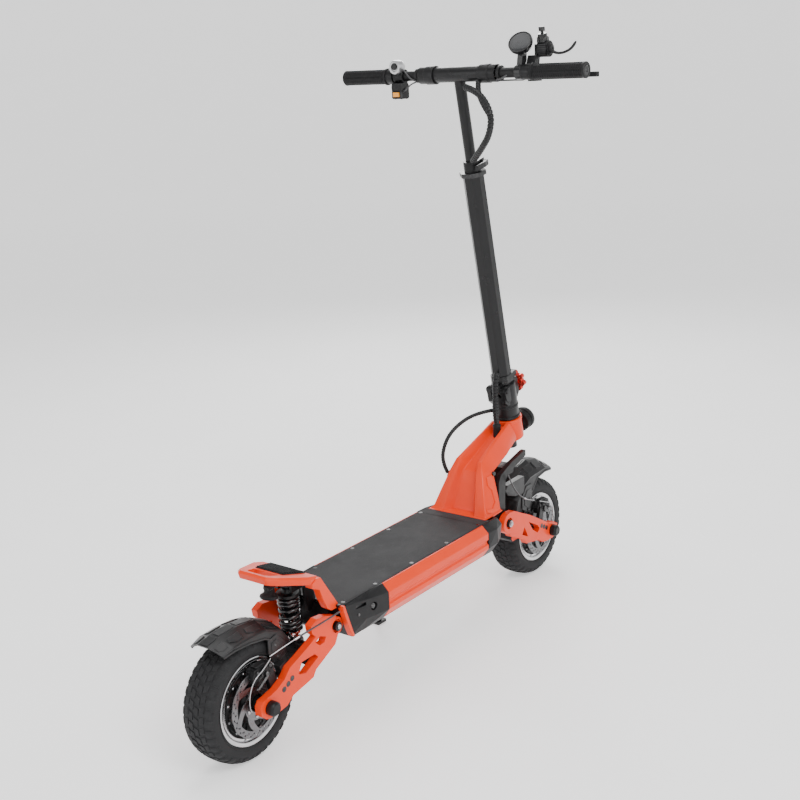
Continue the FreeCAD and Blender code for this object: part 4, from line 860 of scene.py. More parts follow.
def flank_plate(s):
    """Stepped panel standing on each flank of the casting."""
    B = Build()

    def on(x, z, lift):
        # flank surface between the rear corner and the front corner at that height
        zs = [258, 266, 290, 322, 350]
        ra = [(225, 79), (234, 74), (244, 66.5), (257, 56), (268.5, 47.5)]
        fa = [(298, 78), (299, 75), (301, 70), (302, 62), (303, 55)]
        i = max(0, min(3, sum(1 for q in zs if q <= z) - 1))
        k = (z - zs[i]) / (zs[i + 1] - zs[i])
        r = (ra[i][0] + (ra[i + 1][0] - ra[i][0]) * k, ra[i][1] + (ra[i + 1][1] - ra[i][1]) * k)
        f = (fa[i][0] + (fa[i + 1][0] - fa[i][0]) * k, fa[i][1] + (fa[i + 1][1] - fa[i][1]) * k)
        q = (x - r[0]) / (f[0] - r[0])
        bulge = 1.5 * math.sin(math.pi * max(0, min(1, q)))
        return Vector((x, s * (r[1] + (f[1] - r[1]) * q + bulge + lift), z))
    out = [(246, 276), (266, 272), (281, 284), (281, 312), (272, 324), (276, 344), (294, 346), (294, 264), (262, 262), (243, 268)]
    lo = [on(x, z, -1.0) for x, z in out]
    hi = [on(x, z, 1.7) for x, z in out]
    n = len(out)
    B.add(lo + hi, [tuple(range(n)), tuple(range(2 * n - 1, n - 1, -1))] + [(i, (i + 1) % n, (i + 1) % n + n, i + n) for i in range(n)])
    return B


for s, nm in ((-1, "right"), (1, "left")):
    finish_mesh("neck_flank_step_" + nm, flank_plate(s).mesh(), m_orange, "chassis", bevel=0.7, segs=2)
B = Build()
B.rings([[Vector((x, y, z)) for x, y in ((222, -82), (302, -80), (303, -70), (303, 70), (302, 80), (222, 82))] for z in (256.2, 258.4)])
B.rings([[Vector((x, y, z)) for x, y in ((262, -78), (304, -76), (304, 76), (262, 78))] for z in (252.4, 257.0)])
finish_mesh("neck_flange", B.mesh(), m_orange, "chassis", bevel=0.6)
# bolts of the neck
B = Build()
for s in (-1, 1):
    B.cyl((302, s * 52, 346), (302, s * 60.0, 346), 5.2, n=20, ch=1.0)
    B.cyl((302, s * 59.8, 346), (302, s * 60.6, 346), 2.6, n=6)
finish_mesh("neck_bolts", B.mesh(), m_dark_steel, "chassis", smooth=35)

# ---------------------------------------------------------------- kickplate with its carry hole
TILT = 25.0 / 98.0


def kz(x):
    return 336 + (-374 - x) * TILT


B = Build()
outer = [(-371, -74), (-371, 74), (-400, 79), (-470, 50), (-484, 36), (-484, -36), (-470, -50), (-400, -79)]
inner = [(-441, -12), (-441, 12), (-441, 33), (-463, 29), (-470, 22), (-470, -22), (-463, -29), (-441, -33)]


def scaled(pts, d):
    cx = sum(p[0] for p in pts) / len(pts)
    out = []
    n = len(pts)
    for i in range(n):
        a, b, c = Vector(pts[i - 1]), Vector(pts[i]), Vector(pts[(i + 1) % n])
        e0, e1 = (b - a).normalized(), (c - b).normalized()
        n0, n1 = Vector((e0.y, -e0.x)), Vector((e1.y, -e1.x))
        m = (n0 + n1)
        m = m / max(0.3, m.dot(n0)) if m.length > 1e-6 else n0
        out.append((b.x + m.x * d, b.y + m.y * d))
    return out


o_top, o_mid, o_low = scaled(outer, 4.5), outer, scaled(outer, 3.0)
if sum(abs(x) + abs(y) for x, y in o_top) > sum(abs(x) + abs(y) for x, y in outer):
    o_top, o_low = scaled(outer, -4.5), scaled(outer, -3.0)
levels = []
for pts, dz in ((o_top, 0.0), (o_mid, -5.5), (o_low, -17.0)):
    levels.append([(x, y, kz(x) + dz) for x, y in pts])
n = 8
vs = levels[0] + levels[1] + levels[2]
fs = []
for i in range(2):
    fs += [(i * n + j, i * n + (j + 1) % n, (i + 1) * n + (j + 1) % n, (i + 1) * n + j) for j in range(n)]
it = [(x, y, kz(x)) for x, y in inner]
ib = [(x, y, kz(x) - 17.0) for x, y in inner]
o = len(vs)
vs += it + ib
fs += [(j, (j + 1) % n, o + (j + 1) % n, o + j) for j in range(n)]
fs += [(2 * n + j, 2 * n + (j + 1) % n, o + n + (j + 1) % n, o + n + j) for j in range(n)]
fs += [(o + j, o + (j + 1) % n, o + n + (j + 1) % n, o + n + j) for j in range(n)]
B.add(vs, fs)
finish_mesh("kickplate_top", B.mesh(), m_orange, "chassis", bevel=1.4, segs=3, replaces=("kickplate",))
B = Build()
for s in (-1, 1):
    y0, y1 = sorted((s * 61.0, s * 79.0))
    B.prism_y([(-323.5, 259), (-372, 333), (-384, 334), (-398, 326), (-399, 318), (-377, 308), (-369, 285), (-356, 259), (-344, 250.5), (-323.5, 250.5)], y0, y1)
    # brace rib inside the leg and the lug under it
    y2, y3 = sorted((s * 48.0, s * 61.5))
    B.prism_y([(-326, 258), (-352, 296), (-372, 316), (-384, 322), (-372, 324), (-340, 292), (-324, 266)], y2, y3)
finish_mesh("kickplate_legs", B.mesh(), m_orange, "chassis", bevel=1.3, segs=3)
# ribbed pad: base with raised rounded ribs
B = Build()
pb = [(-379.5, -46), (-379.5, 46), (-434, 36.5), (-434, -36.5)]
B.rings([[Vector((x, y, kz(x) - 2)) for x, y in pb], [Vector((x, y, kz(x) + 1.6)) for x, y in pb]])
for k in range(9):
    x = -383.5 - 5.8 * k
    hw = 43.5 - 1.05 * k
    prof = []
    for q in range(9):
        a = math.pi * q / 8
        prof.append((1.9 * math.cos(a), 3.4 * math.sin(a)))
    r0 = [Vector((x + dx, -hw, kz(x) + 1.2 + dz)) for dx, dz in prof]
    r1 = [Vector((x + dx, hw, kz(x) + 1.2 + dz)) for dx, dz in prof]
    B.rings([r0, r1])
finish_mesh("kickplate_tread", B.mesh(), m_rubber, "chassis", bevel=0.5, segs=2, replaces=("kickplate_pad",))
# rubber tongue above the damper
B = Build()
B.rings([[Vector((x, y, z)) for y, z in ((-20, 326), (-14, 331), (14, 331), (20, 326), (14, 322.5), (-14, 322.5))] for x in (-372, -420)])
B.rings([[Vector((x, y * k, z - dz)) for y, z in ((-20, 326), (-14, 330), (14, 330), (20, 326), (14, 322.5), (-14, 322.5))] for x, k, dz in ((-419, 1.0, 0), (-436, 0.8, 4), (-446, 0.45, 9))])
finish_mesh("damper_tongue", B.mesh(), m_plastic, "chassis", bevel=1.2, segs=2)


# ---------------------------------------------------------------- looms and cables, on the same splines as in the design
BAR_LOOM = [(BX - 14, -26, BZ - 28), (BX - 26, -56, BZ - 34), (BX - 35, -88, BZ - 54), (BX - 38, -108, BZ - 90), (BX - 34, -98, BZ - 130),
            (BX - 20, -70, BZ - 158), (BX + 0, -42, BZ - 178), (BX + 14, -23, BZ - 190)]
NECK_LOOM = [(399, 4, 472), (372, 24, 470), (334, 43, 460), (292, 58, 436), (268, 64, 402), (264, 65, 366), (277, 60, 338)]
STRAND = [(393, -9, 507), (387, -9, 474), (402, -6, 437)]
STRAND_UP = [(404, -7, 566), (390, -9, 540), (393, -9, 508)]
REAR_CABLE = [(-333, -90, 247), (-376, -89, 244), (-424, -85, 241), (-464, -68, 227), (-508, -56, 214)]
FRONT_CABLE = [(352, -66, 330), (378, -66, 286), (410, -66, 256), (450, -62, 234), (494, -55, 218)]


def M(p):
    return tuple(Vector(p) * K)


B = Build()
sweep(B, spline(BAR_LOOM, 460), wrap(7.4, 8.4, 2.2), n=24)
finish_mesh("bar_loom_wrap", B.mesh(), m_loom, None, smooth=50, replaces=("bar_loom",), blend=("stem", "bar_tee", M(BAR_LOOM[-1]), M(BAR_LOOM[0])))
B = Build()
sweep(B, spline(NECK_LOOM, 420), wrap(4.9, 6.4, 1.4), n=18)
finish_mesh("neck_loom_wrap", B.mesh(), m_loom, None, smooth=50, replaces=("neck_loom",), blend=("fork", "chassis", M(NECK_LOOM[0]), M(NECK_LOOM[-1])))
B = Build()
sweep(B, spline(STRAND, 160), wrap(7.4, 8.0, 2.2), n=24)
finish_mesh("hinge_strand", B.mesh(), m_loom, None, smooth=50, blend=("fork", "chassis", M(STRAND[0]), M(STRAND[-1])))
B = Build()
sweep(B, spline(STRAND_UP, 140), wrap(7.4, 8.0, 2.2), n=24)
finish_mesh("hinge_strand_upper", B.mesh(), m_loom, None, smooth=50, blend=("stem", "fork", M(STRAND_UP[0]), M(STRAND_UP[-1])))
# branch of the loom that comes down from the right of the tee
B = Build()
sweep(B, spline([(BX - 14, -60, BZ - 17), (BX - 26, -66, BZ - 36), (BX - 36, -82, BZ - 60), (BX - 38, -100, BZ - 84), (BX - 37.5, -106, BZ - 94)], 220), wrap(6.0, 8.0, 1.8), n=22)
finish_mesh("bar_loom_branch", B.mesh(), m_loom, None, smooth=50, blend=("stem", "bar_tee", M(BAR_LOOM[-1]), M(BAR_LOOM[0])))
# grommets where the looms go into the neck
B = Build()
B.revolve([(0, 0.1), (0, 9.4), (26, 9.4), (28, 10.4), (31, 10.4), (33, 9.0), (33, 0.1)], (401.0, -6, 404), (0.02, 0, 1), (1, 0, 0), n=32)
B.revolve([(0, 0.1), (0, 7.4), (7, 7.4), (9, 8.2), (11, 8.2), (12, 6.8), (12, 0.1)], (279.5, 47, 330), (-0.14, 0.86, 0.5), (1, 0, 0), n=32)
finish_mesh("loom_grommets", B.mesh(), m_rubber, "chassis", smooth=40)
for nm, line, pair, node in (("rear_cable", REAR_CABLE, ("chassis", "rear_arm"), "rear_brake_cable"), ("front_cable", FRONT_CABLE, ("fork", "front_arm"), "front_brake_cable")):
    pts = spline(line, 160)
    B = Build()
    # housing along the first part, the bare wire and its ferrule along the rest
    sweep(B, pts[:108], lambda s, a: 1.9, n=14, mi=0)
    sweep(B, pts[104:118], lambda s, a: 2.5 if 1.0 < s else 2.1, n=14, mi=2)
    sweep(B, pts[114:], lambda s, a: 1.1 + 0.12 * math.sin(a * 3 + s * 2.4), n=12, mi=1)
    finish_mesh(nm + "_line", B.mesh(), [m_cable, m_wire, m_steel], None, smooth=50, replaces=(node,), blend=(*pair, M(line[0]), M(line[-1])))

# ---------------------------------------------------------------- grips
GP = [(0, 17.4), (0.8, 18.6), (5.2, 18.8), (6.2, 16.6)]


def grip(side, y0, y1):
    s = 1 if y1 > y0 else -1
    L = abs(y1 - y0)
    n = 72
    prof = [(0.0, 12.0), (0.0, 17.6), (1.0, 18.8), (5.0, 18.8), (6.0, 17.2)]
    k = 0
    pos = 7.2
    while pos < L - 9:
        # ribs of the hand zone
        prof += [(pos, 15.2), (pos + 0.7, 16.7), (pos + 3.0, 16.9), (pos + 3.7, 15.2)]
        pos += 5.4
        k += 1
    prof += [(L - 7.5, 15.6), (L - 5.5, 17.0), (L - 2.0, 17.3), (L - 0.6, 16.2), (L - 0.6, 11.2), (L - 2.2, 11.2), (L - 2.2, 12.0)]
    o = (BX, y0, BZ)
    B = Build()
    B.revolve([(t, r) for t, r in prof], o, (0, s, 0), (0, 0, 1), n=n)
    # long flutes that break the ribs up
    for q in range(10):
        a = 2 * math.pi * q / 10
        u, w = Vector((0, 0, 1)), Vector((1, 0, 0))
        c = Vector(o) + (u * math.cos(a) + w * math.sin(a)) * 15.35
        t = (-u * math.sin(a) + w * math.cos(a))
        r = (u * math.cos(a) + w * math.sin(a))
        B.box(c + Vector((0, s * L / 2, 0)), (1.0, 2.1, L / 2 - 9.5), (r, t, (0, 1, 0)))
    return finish_mesh("grip_cover_" + side, B.mesh(), m_rubber, side + "_bar", smooth=32, replaces=("grip_" + side,))


grip("left", 194.0, 319.0)
grip("right", -188.0, -319.0)
# bar-end plugs
for side, s in (("left", 1), ("right", -1)):
    B = Build()
    B.revolve([(0, 0.01), (0, 10.6), (1.6, 10.6), (2.2, 9.8), (2.2, 4.0), (1.4, 3.4), (1.4, 0.01)], (BX, s * 316.4, BZ), (0, s, 0), (0, 0, 1), n=48)
    finish_mesh("bar_plug_" + side, B.mesh(), m_dark_steel if s < 0 else m_plastic, side + "_bar", smooth=35)

# ---------------------------------------------------------------- headlight: finned housing, bezel and lens
LS = -40.0
LO = sf(LS, 0)
B = Build()
prof = [(33.8, 0.1), (33.8, 13.5), (46, 13.8), (48, 17)]
f = 49.0
k = 0
while f < 66:
    R = 26.8 if k < 5 else 28.0
    prof += [(f, 22.5), (f + 0.4, R - 0.5), (f + 1.0, R), (f + 1.9, R), (f + 2.3, R - 0.5), (f + 2.5, 22.8)]
    f += 3.4
    k += 1
prof += [(67.0, 23.5), (67.5, 27.4), (68.6, 28.2), (78.0, 28.2), (79.8, 27.2), (79.8, 25.4), (77.8, 24.6), (73.5, 24.4), (72.8, 20), (70.5, 8), (70.5, 0.1)]
B.revolve(prof, LO, EF, ES, n=84)
finish_mesh("headlight_body", B.mesh(), m_plastic, "chassis", smooth=38, replaces=("headlight",))
B = Build()
B.revolve([(74.2, 0.1), (74.2, 24.3), (76.2, 24.3), (77.4, 18.0), (78.2, 9.0), (78.5, 0.1)], LO, EF, ES, n=72)
finish_mesh("headlight_lens", B.mesh(), m_lens, "chassis", smooth=40)

# ---------------------------------------------------------------- black clevis, covers and bolts of each arm
HOLE_Y = 80.7
for tag, sg in (("rear", -1), ("front", 1)):
    B = Build()
    lx, lz = 380.0, 186.0
    B.prism_y([(sg * x, z) for x, z in [(363, 157), (370, 148.6), (402, 148.6), (404.5, 168), (396, 172), (366, 171.5)]], -63.7, 63.7)
    for s in (-1, 1):
        y0, y1 = sorted((s * 13.0, s * 21.0))
        B.prism_y([(sg * x, z) for x, z in [(lx - 12.5, 164), (lx + 12.5, 164), (lx + 11.5, lz), (lx + 7, lz + 9), (lx - 7, lz + 9), (lx - 11.5, lz)]], y0, y1)
        y2, y3 = sorted((s * 21.0, s * 40.0))
        B.prism_y([(sg * x, z) for x, z in [(lx - 10, 168), (lx + 16, 168), (lx + 12, 184), (lx - 6, 184)]], y2, y3)
    finish_mesh(tag + "_arm_clevis", B.mesh(), m_black, tag + "_arm", bevel=1.0, segs=2)
    B = Build()
    for s in (-1, 1):
        B.cyl((sg * lx, s * 20.5, lz), (sg * lx, s * 26.0, lz), 7.4, n=6, ch=0.8)
        B.cyl((sg * (lx + 6), s * 39.5, 176), (sg * (lx + 6), s * 43.5, 176), 5.4, n=20, ch=0.8)
        # pressed-in plugs of the three holes of each arm
        for hx, hz in (((499, 147), (486.5, 153), (474.5, 160)) if tag == "rear" else ((511, 143), (499, 149.5), (487, 156))):
            B.cyl((sg * hx, s * 67, hz), (sg * hx, s * 77.5, hz), 3.5, n=18, ch=0.3)
            B.cyl((sg * hx, s * 77.0, hz), (sg * hx, s * HOLE_Y, hz), 6.0, n=32, ch=0.4)
    finish_mesh(tag + "_arm_bolts", B.mesh(), m_dark_steel, tag + "_arm", smooth=35)
    # pivot bolt heads with a bright washer
    B = Build()
    for s in (-1, 1):
        y = s * 80.0
        B.revolve([(0, 0.1), (0, 8.0), (1.2, 8.0), (1.2, 0.1)], (sg * 333, s * 84.2, 213), (0, s, 0), (0, 0, 1), n=36)
        B.cyl((sg * 333, s * 85.2, 213), (sg * 333, s * 88.2, 213), 5.4, n=6, ch=0.5)
    finish_mesh(tag + "_pivot_heads", B.mesh(), m_steel, "chassis" if tag == "rear" else "fork", smooth=35)
    # caliper: piston cover with ribs, hose banjo, cable arm and two cap screws
    B = Build()
    cx, cz = 532.0, 190.0
    B.revolve([(0, 0.1), (0, 13.4), (2.0, 13.8), (4.0, 13.8), (5.0, 12.2), (5.0, 9.0), (3.6, 8.2), (3.6, 0.1)], (sg * (cx - 4), -59.5, cz), (0, -1, 0), (0, 0, 1), n=48)
    for q in range(8):
        a = math.pi * q / 4
        c = Vector((sg * (cx - 4) + 10.6 * math.cos(a), -64.6, cz + 10.6 * math.sin(a)))
        B.box(c, (1.0, 1.2, 1.0))
    B.prism_y([(sg * x, z) for x, z in [(cx - 30, cz + 2), (cx - 22, cz + 17), (cx + 22, cz + 15.5), (cx + 30, cz - 3), (cx + 24, cz + 8), (cx - 18, cz + 9)]], -52.5, -45.5)
    B.prism_y([(sg * x, z) for x, z in [(cx - 8, cz + 20), (cx + 18, cz + 19), (cx + 16, cz + 13), (cx - 10, cz + 13)]], -57, -43)
    finish_mesh(tag + "_caliper_cover", B.mesh(), m_black, tag + "_arm", smooth=35, bevel=0.5, segs=2)
    B = Build()
    for x, z in ((cx - 19, cz + 9), (cx + 16, cz + 7)):
        B.cyl((sg * x, -62.5, z), (sg * x, -59.0, z), 3.9, n=20, ch=0.7)
        B.cyl((sg * x, -62.9, z), (sg * x, -62.3, z), 2.0, n=6)
    B.prism_y([(sg * x, z) for x, z in [(cx - 9, cz - 4), (cx + 2, cz - 5), (cx + 24, cz - 20), (cx + 21, cz - 24), (cx - 3, cz - 10)]], -67.0, -64.6)
    B.cyl((sg * (cx - 4), -68.2, cz), (sg * (cx - 4), -64.5, cz), 5.0, n=6, ch=0.6)
    wire = spline([(sg * (cx - 22), -60, cz + 22), (sg * (cx + 4), -66, cz + 12), (sg * (cx + 32), -66, cz + 2), (sg * (cx + 43), -63, cz - 22), (sg * (cx + 44), -60, cz - 52), (sg * (cx + 36), -57, cz - 66)], 60)
    sweep(B, wire, lambda s, a: 1.1, n=10, mi=1)
    coilw = []
    for q in range(90):
        a = 2 * math.pi * 5 * q / 89
        coilw.append(Vector((sg * (cx + 8 + 12 * q / 89) + 0 * a, -63.5 + 3.2 * math.cos(a), cz + 1 - 6 * q / 89 + 3.2 * math.sin(a))))
    sweep(B, coilw, lambda s, a: 0.55, n=8)
    finish_mesh(tag + "_caliper_metal", B.mesh(), [m_dark_steel, m_wire], tag + "_arm", smooth=40)

# rubber bump stop beside the rear damper's upper eye
B = Build()
B.revolve([(0, 0.1), (0, 17.0), (3.0, 19.0), (7.0, 18.0), (11.0, 12.5), (13.0, 11.0), (24.0, 10.0), (24.0, 0.1)], (-440, 0, 296), (0.18, 0, 1), (0, 1, 0), n=48)
finish_mesh("bump_stop", B.mesh(), m_rubber, "chassis", smooth=38)

# orange edge strips behind the rear corner caps
B = Build()
for s in (-1, 1):
    y0, y1 = sorted((s * 82.5, s * 96.5))
    B.prism_y([(-329, 257), (-322.9, 257), (-321.6, 252), (-302.2, 196), (-296.0, 180), (-302.5, 180), (-310, 196), (-328, 248)], y0, y1)
finish_mesh("deck_end_strips", B.mesh(), m_orange, "chassis", bevel=1.0, segs=2)
B = Build()
for s in (-1, 1):
    B.cyl((-240, s * 99.5, 226), (-240, s * 103.0, 226), 6.6, n=6, ch=0.8)
    B.cyl((-283, s * 96.8, 222), (-283, s * 99.8, 222), 3.4, n=6, ch=0.5)
finish_mesh("cap_screws", B.mesh(), m_dark_steel, "chassis", smooth=35)

# ---------------------------------------------------------------- left controls
PYM = 159.5
B = Build()
B.revolve([(-23.4, 0.1), (-23.4, 8.2), (-25.2, 9.4), (-26.0, 12.4), (-24.6, 14.8), (-20.0, 16.0), (-8.0, 16.2), (-2.0, 14.6), (1.8, 11.0), (1.8, 0.1)], (BX, PYM, BZ + 20.5), (1, 0, 0), (0, 0, 1), n=56)
finish_mesh("horn_pod", B.mesh(), m_silver, "left_bar", smooth=38, replaces=("switch_cluster",))
B = Build()
B.revolve([(y, r) for y, r in [(146.2, 11.3), (146.2, 14.6), (147.4, 15.6), (171.6, 15.6), (172.8, 14.6), (172.8, 11.3)]], (BX, 0, BZ), (0, 1, 0), (0, 0, 1), n=56)
B.prism_y([(BX - 19.5, BZ - 15), (BX - 21, BZ - 24), (BX - 19.8, BZ - 33), (BX - 13.8, BZ - 33.5), (BX - 13.8, BZ - 46.5), (BX - 19.8, BZ - 47), (BX - 17, BZ - 50), (BX + 9, BZ - 50), (BX + 12, BZ - 46), (BX + 12, BZ - 20), (BX + 7, BZ - 13), (BX - 8, BZ - 14)], 146.4, 172.6)
B.box((BX - 17, 148.6, BZ - 40), (3.2, 2.2, 7.4))
B.box((BX - 17, 170.4, BZ - 40), (3.2, 2.2, 7.4))
B.cyl((BX - 3, 146.5, BZ - 30), (BX - 3, 144.2, BZ - 30), 4.4, n=24, ch=0.6)
B.prism_y([(BX + 2, BZ - 12), (BX + 14, BZ - 16), (BX + 14, BZ - 24), (BX + 2, BZ - 22)], 150, 169)
finish_mesh("left_switch_box", B.mesh(), m_plastic, "left_bar", smooth=35, bevel=0.8, segs=3)
B = Build()
for s in (-1, 1):
    for x in (-12, 9):
        B.cyl((BX + x - (2 if x > 0 else 0), PYM + s * 8.5, BZ - 50.8), (BX + x - (2 if x > 0 else 0), PYM + s * 8.5, BZ - 49), 1.9, n=14, ch=0.3)
B.cyl((BX + 4, PYM, BZ - 14.5), (BX + 13, PYM, BZ - 14.5), 2.2, n=18, ch=0.4)
finish_mesh("left_switch_screws", B.mesh(), m_dark_steel, "left_bar", smooth=35)
# thin wires from both switches along the bar into the sleeve
B = Build()
for pts in ([(BX - 12, 146.5, BZ - 34), (BX - 16, 134, BZ - 30), (BX - 16, 120, BZ - 17), (BX - 15, 107, BZ - 14)],
            [(BX - 8, 144.5, BZ + 12), (BX - 12, 132, BZ + 2), (BX - 15, 118, BZ - 9), (BX - 15, 107, BZ - 11)]):
    sweep(B, spline(pts, 60), lambda s, a: 1.7, n=12)
finish_mesh("left_switch_wires", B.mesh(), m_cable, "left_bar", smooth=45)

# ---------------------------------------------------------------- right controls
DC = Vector((BX + 5, -158, BZ + 59))
DN = Vector((-0.78, -0.1, 0.62)).normalized()
DU = Vector((0, 0, 1))
B = Build()
B.revolve([(-12, 0.1), (-12, 19.5), (-10.5, 22.0), (-6, 24.5), (-2.5, 25.6), (-1.5, 26.8), (6.0, 27.0), (7.6, 26.2), (7.9, 24.6), (6.2, 23.6), (4.9, 23.4), (4.9, 0.1)], DC, DN, DU, n=88)
ringp = [(y, r) for y, r in [(-166, 11.3), (-166, 15.2), (-165.2, 16.0), (-150.8, 16.0), (-150, 15.2), (-150, 11.3)]]
B.revolve(ringp, (BX, 0, BZ), (0, 1, 0), (0, 0, 1), n=48)
B.prism_y([(BX - 4, BZ + 13), (BX + 12, BZ + 13), (BX + 18, BZ + 26), (BX + 19, BZ + 46), (BX + 12, BZ + 53), (BX + 2, BZ + 44)], -164.5, -151.5)
kc = Vector((BX + 26, -200, BZ + 62))
kd = Vector((-4, 0, 20)).normalized()
B.revolve([(0, 0.1), (0, 10.8), (5, 11.0), (6.4, 10.2), (15, 10.2), (16.2, 9.4), (16.2, 3.7), (14.5, 3.7), (14.5, 0.1)], kc, kd, (0, 1, 0), n=48)
B.prism_y([(BX + 16, BZ + 59), (BX + 36, BZ + 59), (BX + 36, BZ + 69), (BX + 32, BZ + 72), (BX + 19, BZ + 72), (BX + 16, BZ + 69)], -209.6, -190.4)
finish_mesh("display_housing", B.mesh(), m_gloss_black, "right_bar", smooth=35, bevel=0.5, segs=2, replaces=("display_and_key_switch",))
B = Build()
B.revolve([(5.2, 0.1), (5.2, 23.3), (6.2, 23.3), (6.7, 14), (6.9, 0.1)], DC, DN, DU, n=72)
finish_mesh("display_glass", B.mesh(), m_screen, "right_bar", smooth=50)
B = Build()
u0 = (DU - DN * DU.dot(DN)).normalized()
w0 = DN.cross(u0)
for q in range(36):
    a = math.radians(10 * q)
    if 150 < 10 * q < 210:
        continue
    e = u0 * math.cos(a) + w0 * math.sin(a)
    t = -u0 * math.sin(a) + w0 * math.cos(a)
    L = 1.8 if q % 3 == 0 else 1.0
    B.box(DC + DN * 6.6 + e * (20.6 - L), (L, 0.28, 0.16), (e, t, DN))
for k in range(3):
    B.box(DC + DN * 6.9 + w0 * (5.0 * (k - 1)) + u0 * 1.0, (1.5, 0.35, 0.12), (w0, u0, DN))
    B.box(DC + DN * 6.9 + w0 * (5.0 * (k - 1)) + u0 * -2.6, (1.5, 0.35, 0.12), (w0, u0, DN))
    B.box(DC + DN * 6.9 + w0 * (5.0 * (k - 1) + 1.5) + u0 * -0.8, (0.35, 1.7, 0.12), (w0, u0, DN))
B.box(DC + DN * 6.9 + u0 * -9.5, (4.0, 0.5, 0.12), (w0, u0, DN))
finish_mesh("display_marks", B.mesh(), m_cable, "right_bar", smooth=35)
# finger throttle: drum with a ribbed rim and a curved thumb blade
TH = Vector((BX + 30, -214, BZ + 46))
B = Build()
B.revolve([(-0.4, 0.1), (-0.4, 12.4), (2.0, 12.4), (2.6, 10.0), (5.6, 9.8), (6.2, 8.8), (6.2, 3.4), (5.2, 2.6), (5.2, 0.1)], TH, (0, -1, 0), (0, 0, 1), n=48)
blade = spline([(BX + 30, -217, BZ + 42), (BX + 30, -228, BZ + 36.5), (BX + 30, -244, BZ + 36), (BX + 31, -260, BZ + 41), (BX + 33, -270, BZ + 50), (BX + 34, -275, BZ + 59)], 70)
fr = frames(blade)
rings = []
for i, (p, t, u, w) in enumerate(fr):
    q = i / (len(fr) - 1)
    side = Vector((1, 0, 0))
    side = (side - t * side.dot(t)).normalized()
    nrm = t.cross(side)
    a_, b_ = 7.4 - 2.6 * q, 3.3 - 1.0 * q
    if q > 0.94:
        a_ *= 1 - (q - 0.94) * 9
        b_ *= 1 - (q - 0.94) * 9
    rings.append([p + side * (a_ * math.cos(2 * math.pi * j / 18)) + nrm * (b_ * math.sin(2 * math.pi * j / 18)) for j in range(18)])
B.rings(rings)
finish_mesh("throttle_blade", B.mesh(), m_plastic, "throttle_lever", smooth=45, replaces=("throttle_lever",))
B = Build()
for q in range(24):
    a = math.radians(15 * q)
    c = Vector((BX + 30 + 17.0 * math.cos(a), -202, BZ + 46 + 17.0 * math.sin(a)))
    if c.z > BZ + 57.5 or c.z < BZ + 33:
        continue
    B.box(c, (0.8, 9.5, 0.8))
finish_mesh("throttle_ribs", B.mesh(), m_plastic, "right_bar", bevel=0.25, segs=1)
B = Build()
for pts in ([(BX + 12, -156, BZ + 24), (BX + 4, -146, BZ + 14), (BX - 10, -130, BZ - 6), (BX - 14, -112, BZ - 14), (BX - 14, -106.5, BZ - 14)],
            [(BX + 24, -189, BZ + 30), (BX + 20, -170, BZ - 17), (BX + 6, -140, BZ - 16), (BX - 4, -120, BZ - 16), (BX - 4, -106.5, BZ - 16)]):
    sweep(B, spline(pts, 60), lambda s, a: 1.8, n=12)
finish_mesh("right_control_wires", B.mesh(), m_cable, "right_bar", smooth=45)

# ---------------------------------------------------------------- stem dress: hinge plates, collar ring and screws
B = Build()
for s in (-1, 1):
    y0, y1 = sorted((s * 24.8, s * 27.2))
    pts = [sf(a, b) for a, b in ((50, -20), (62, -33), (84, -36), (91, -28), (90, -8), (60, -6))]
    B.prism_y([(p.x, p.z) for p in pts], y0, y1)
    c = sf(84, -26)
    B.cyl((c.x, s * 26.5, c.z), (c.x, s * 31.0, c.z), 7.2, n=24, ch=1.0)
    B.cyl((c.x, s * 30.8, c.z), (c.x, s * 31.6, c.z), 3.2, n=6)
B.revolve([(1.2, 22), (1.2, 31.2), (3.0, 32.2), (6.5, 32.2), (8.5, 30.8), (8.5, 22)], sf(0, 0), ES, EF, n=72)
B.revolve([(30, 24), (30, 30.4), (31, 31.4), (36, 31.4), (37, 30.4), (37, 24)], sf(0, 0), ES, EF, n=72)
finish_mesh("stem_base_dress", B.mesh(), m_black, "fork", smooth=35, bevel=0.6, segs=2)

# ---------------------------------------------------------------- finishes and softened edges of the carried-over pieces
LOOK = {
    "deck_tray": (m_black, 1.2), "deck_plate": (m_mat, 0.8), "side_panels": (m_orange, 1.6), "corner_caps": (m_plastic, 1.2), "battery_and_controllers": (m_battery, 1.0),
    "rear_frame": (m_black, 1.0), "bolts_and_bearings": (m_dark_steel, 0.4), "headlight": (m_plastic, 0.8), "fork": (m_black, 1.0), "stem_base": (m_stem, 0.8), "fold_knob": (m_red, 1.0),
    "stem_tube": (m_stem, 0.9), "stem_collar": (m_stem, 0.7), "clamp_lever": (m_black, 0.7), "bar_tee": (m_stem, 0.9), "sleeve_left": (m_black, 0.6), "sleeve_right": (m_black, 0.6),
    "bar_left": (m_black, 0.3), "bar_right": (m_black, 0.3), "perch_left": (m_black, 0.6), "perch_right": (m_black, 0.6), "switch_cluster": (m_plastic, 0.9),
    "brake_lever_left": (m_black, 2.0), "brake_lever_right": (m_black, 2.0), "horn_button": (m_gloss_black, 0.6), "light_button": (m_amber, 0.5), "throttle_body": (m_plastic, 0.8),
    "throttle_lever": (m_plastic, 0.8), "display_and_key_switch": (m_plastic, 0.7), "key": (m_dark_steel, 0.4), "rear_swingarm": (m_orange, 1.4), "front_swingarm": (m_orange, 1.4),
    "rear_caliper": (m_black, 0.9), "front_caliper": (m_black, 0.9), "rear_axle": (m_plastic, 0.6), "front_axle": (m_plastic, 0.6), "rear_shock_body": (m_black, 0.5), "front_shock_body": (m_black, 0.5),
    "rear_shock_rod": (m_chrome, 0.5), "front_shock_rod": (m_chrome, 0.5), "kickstand": (m_black, 0.8),
}
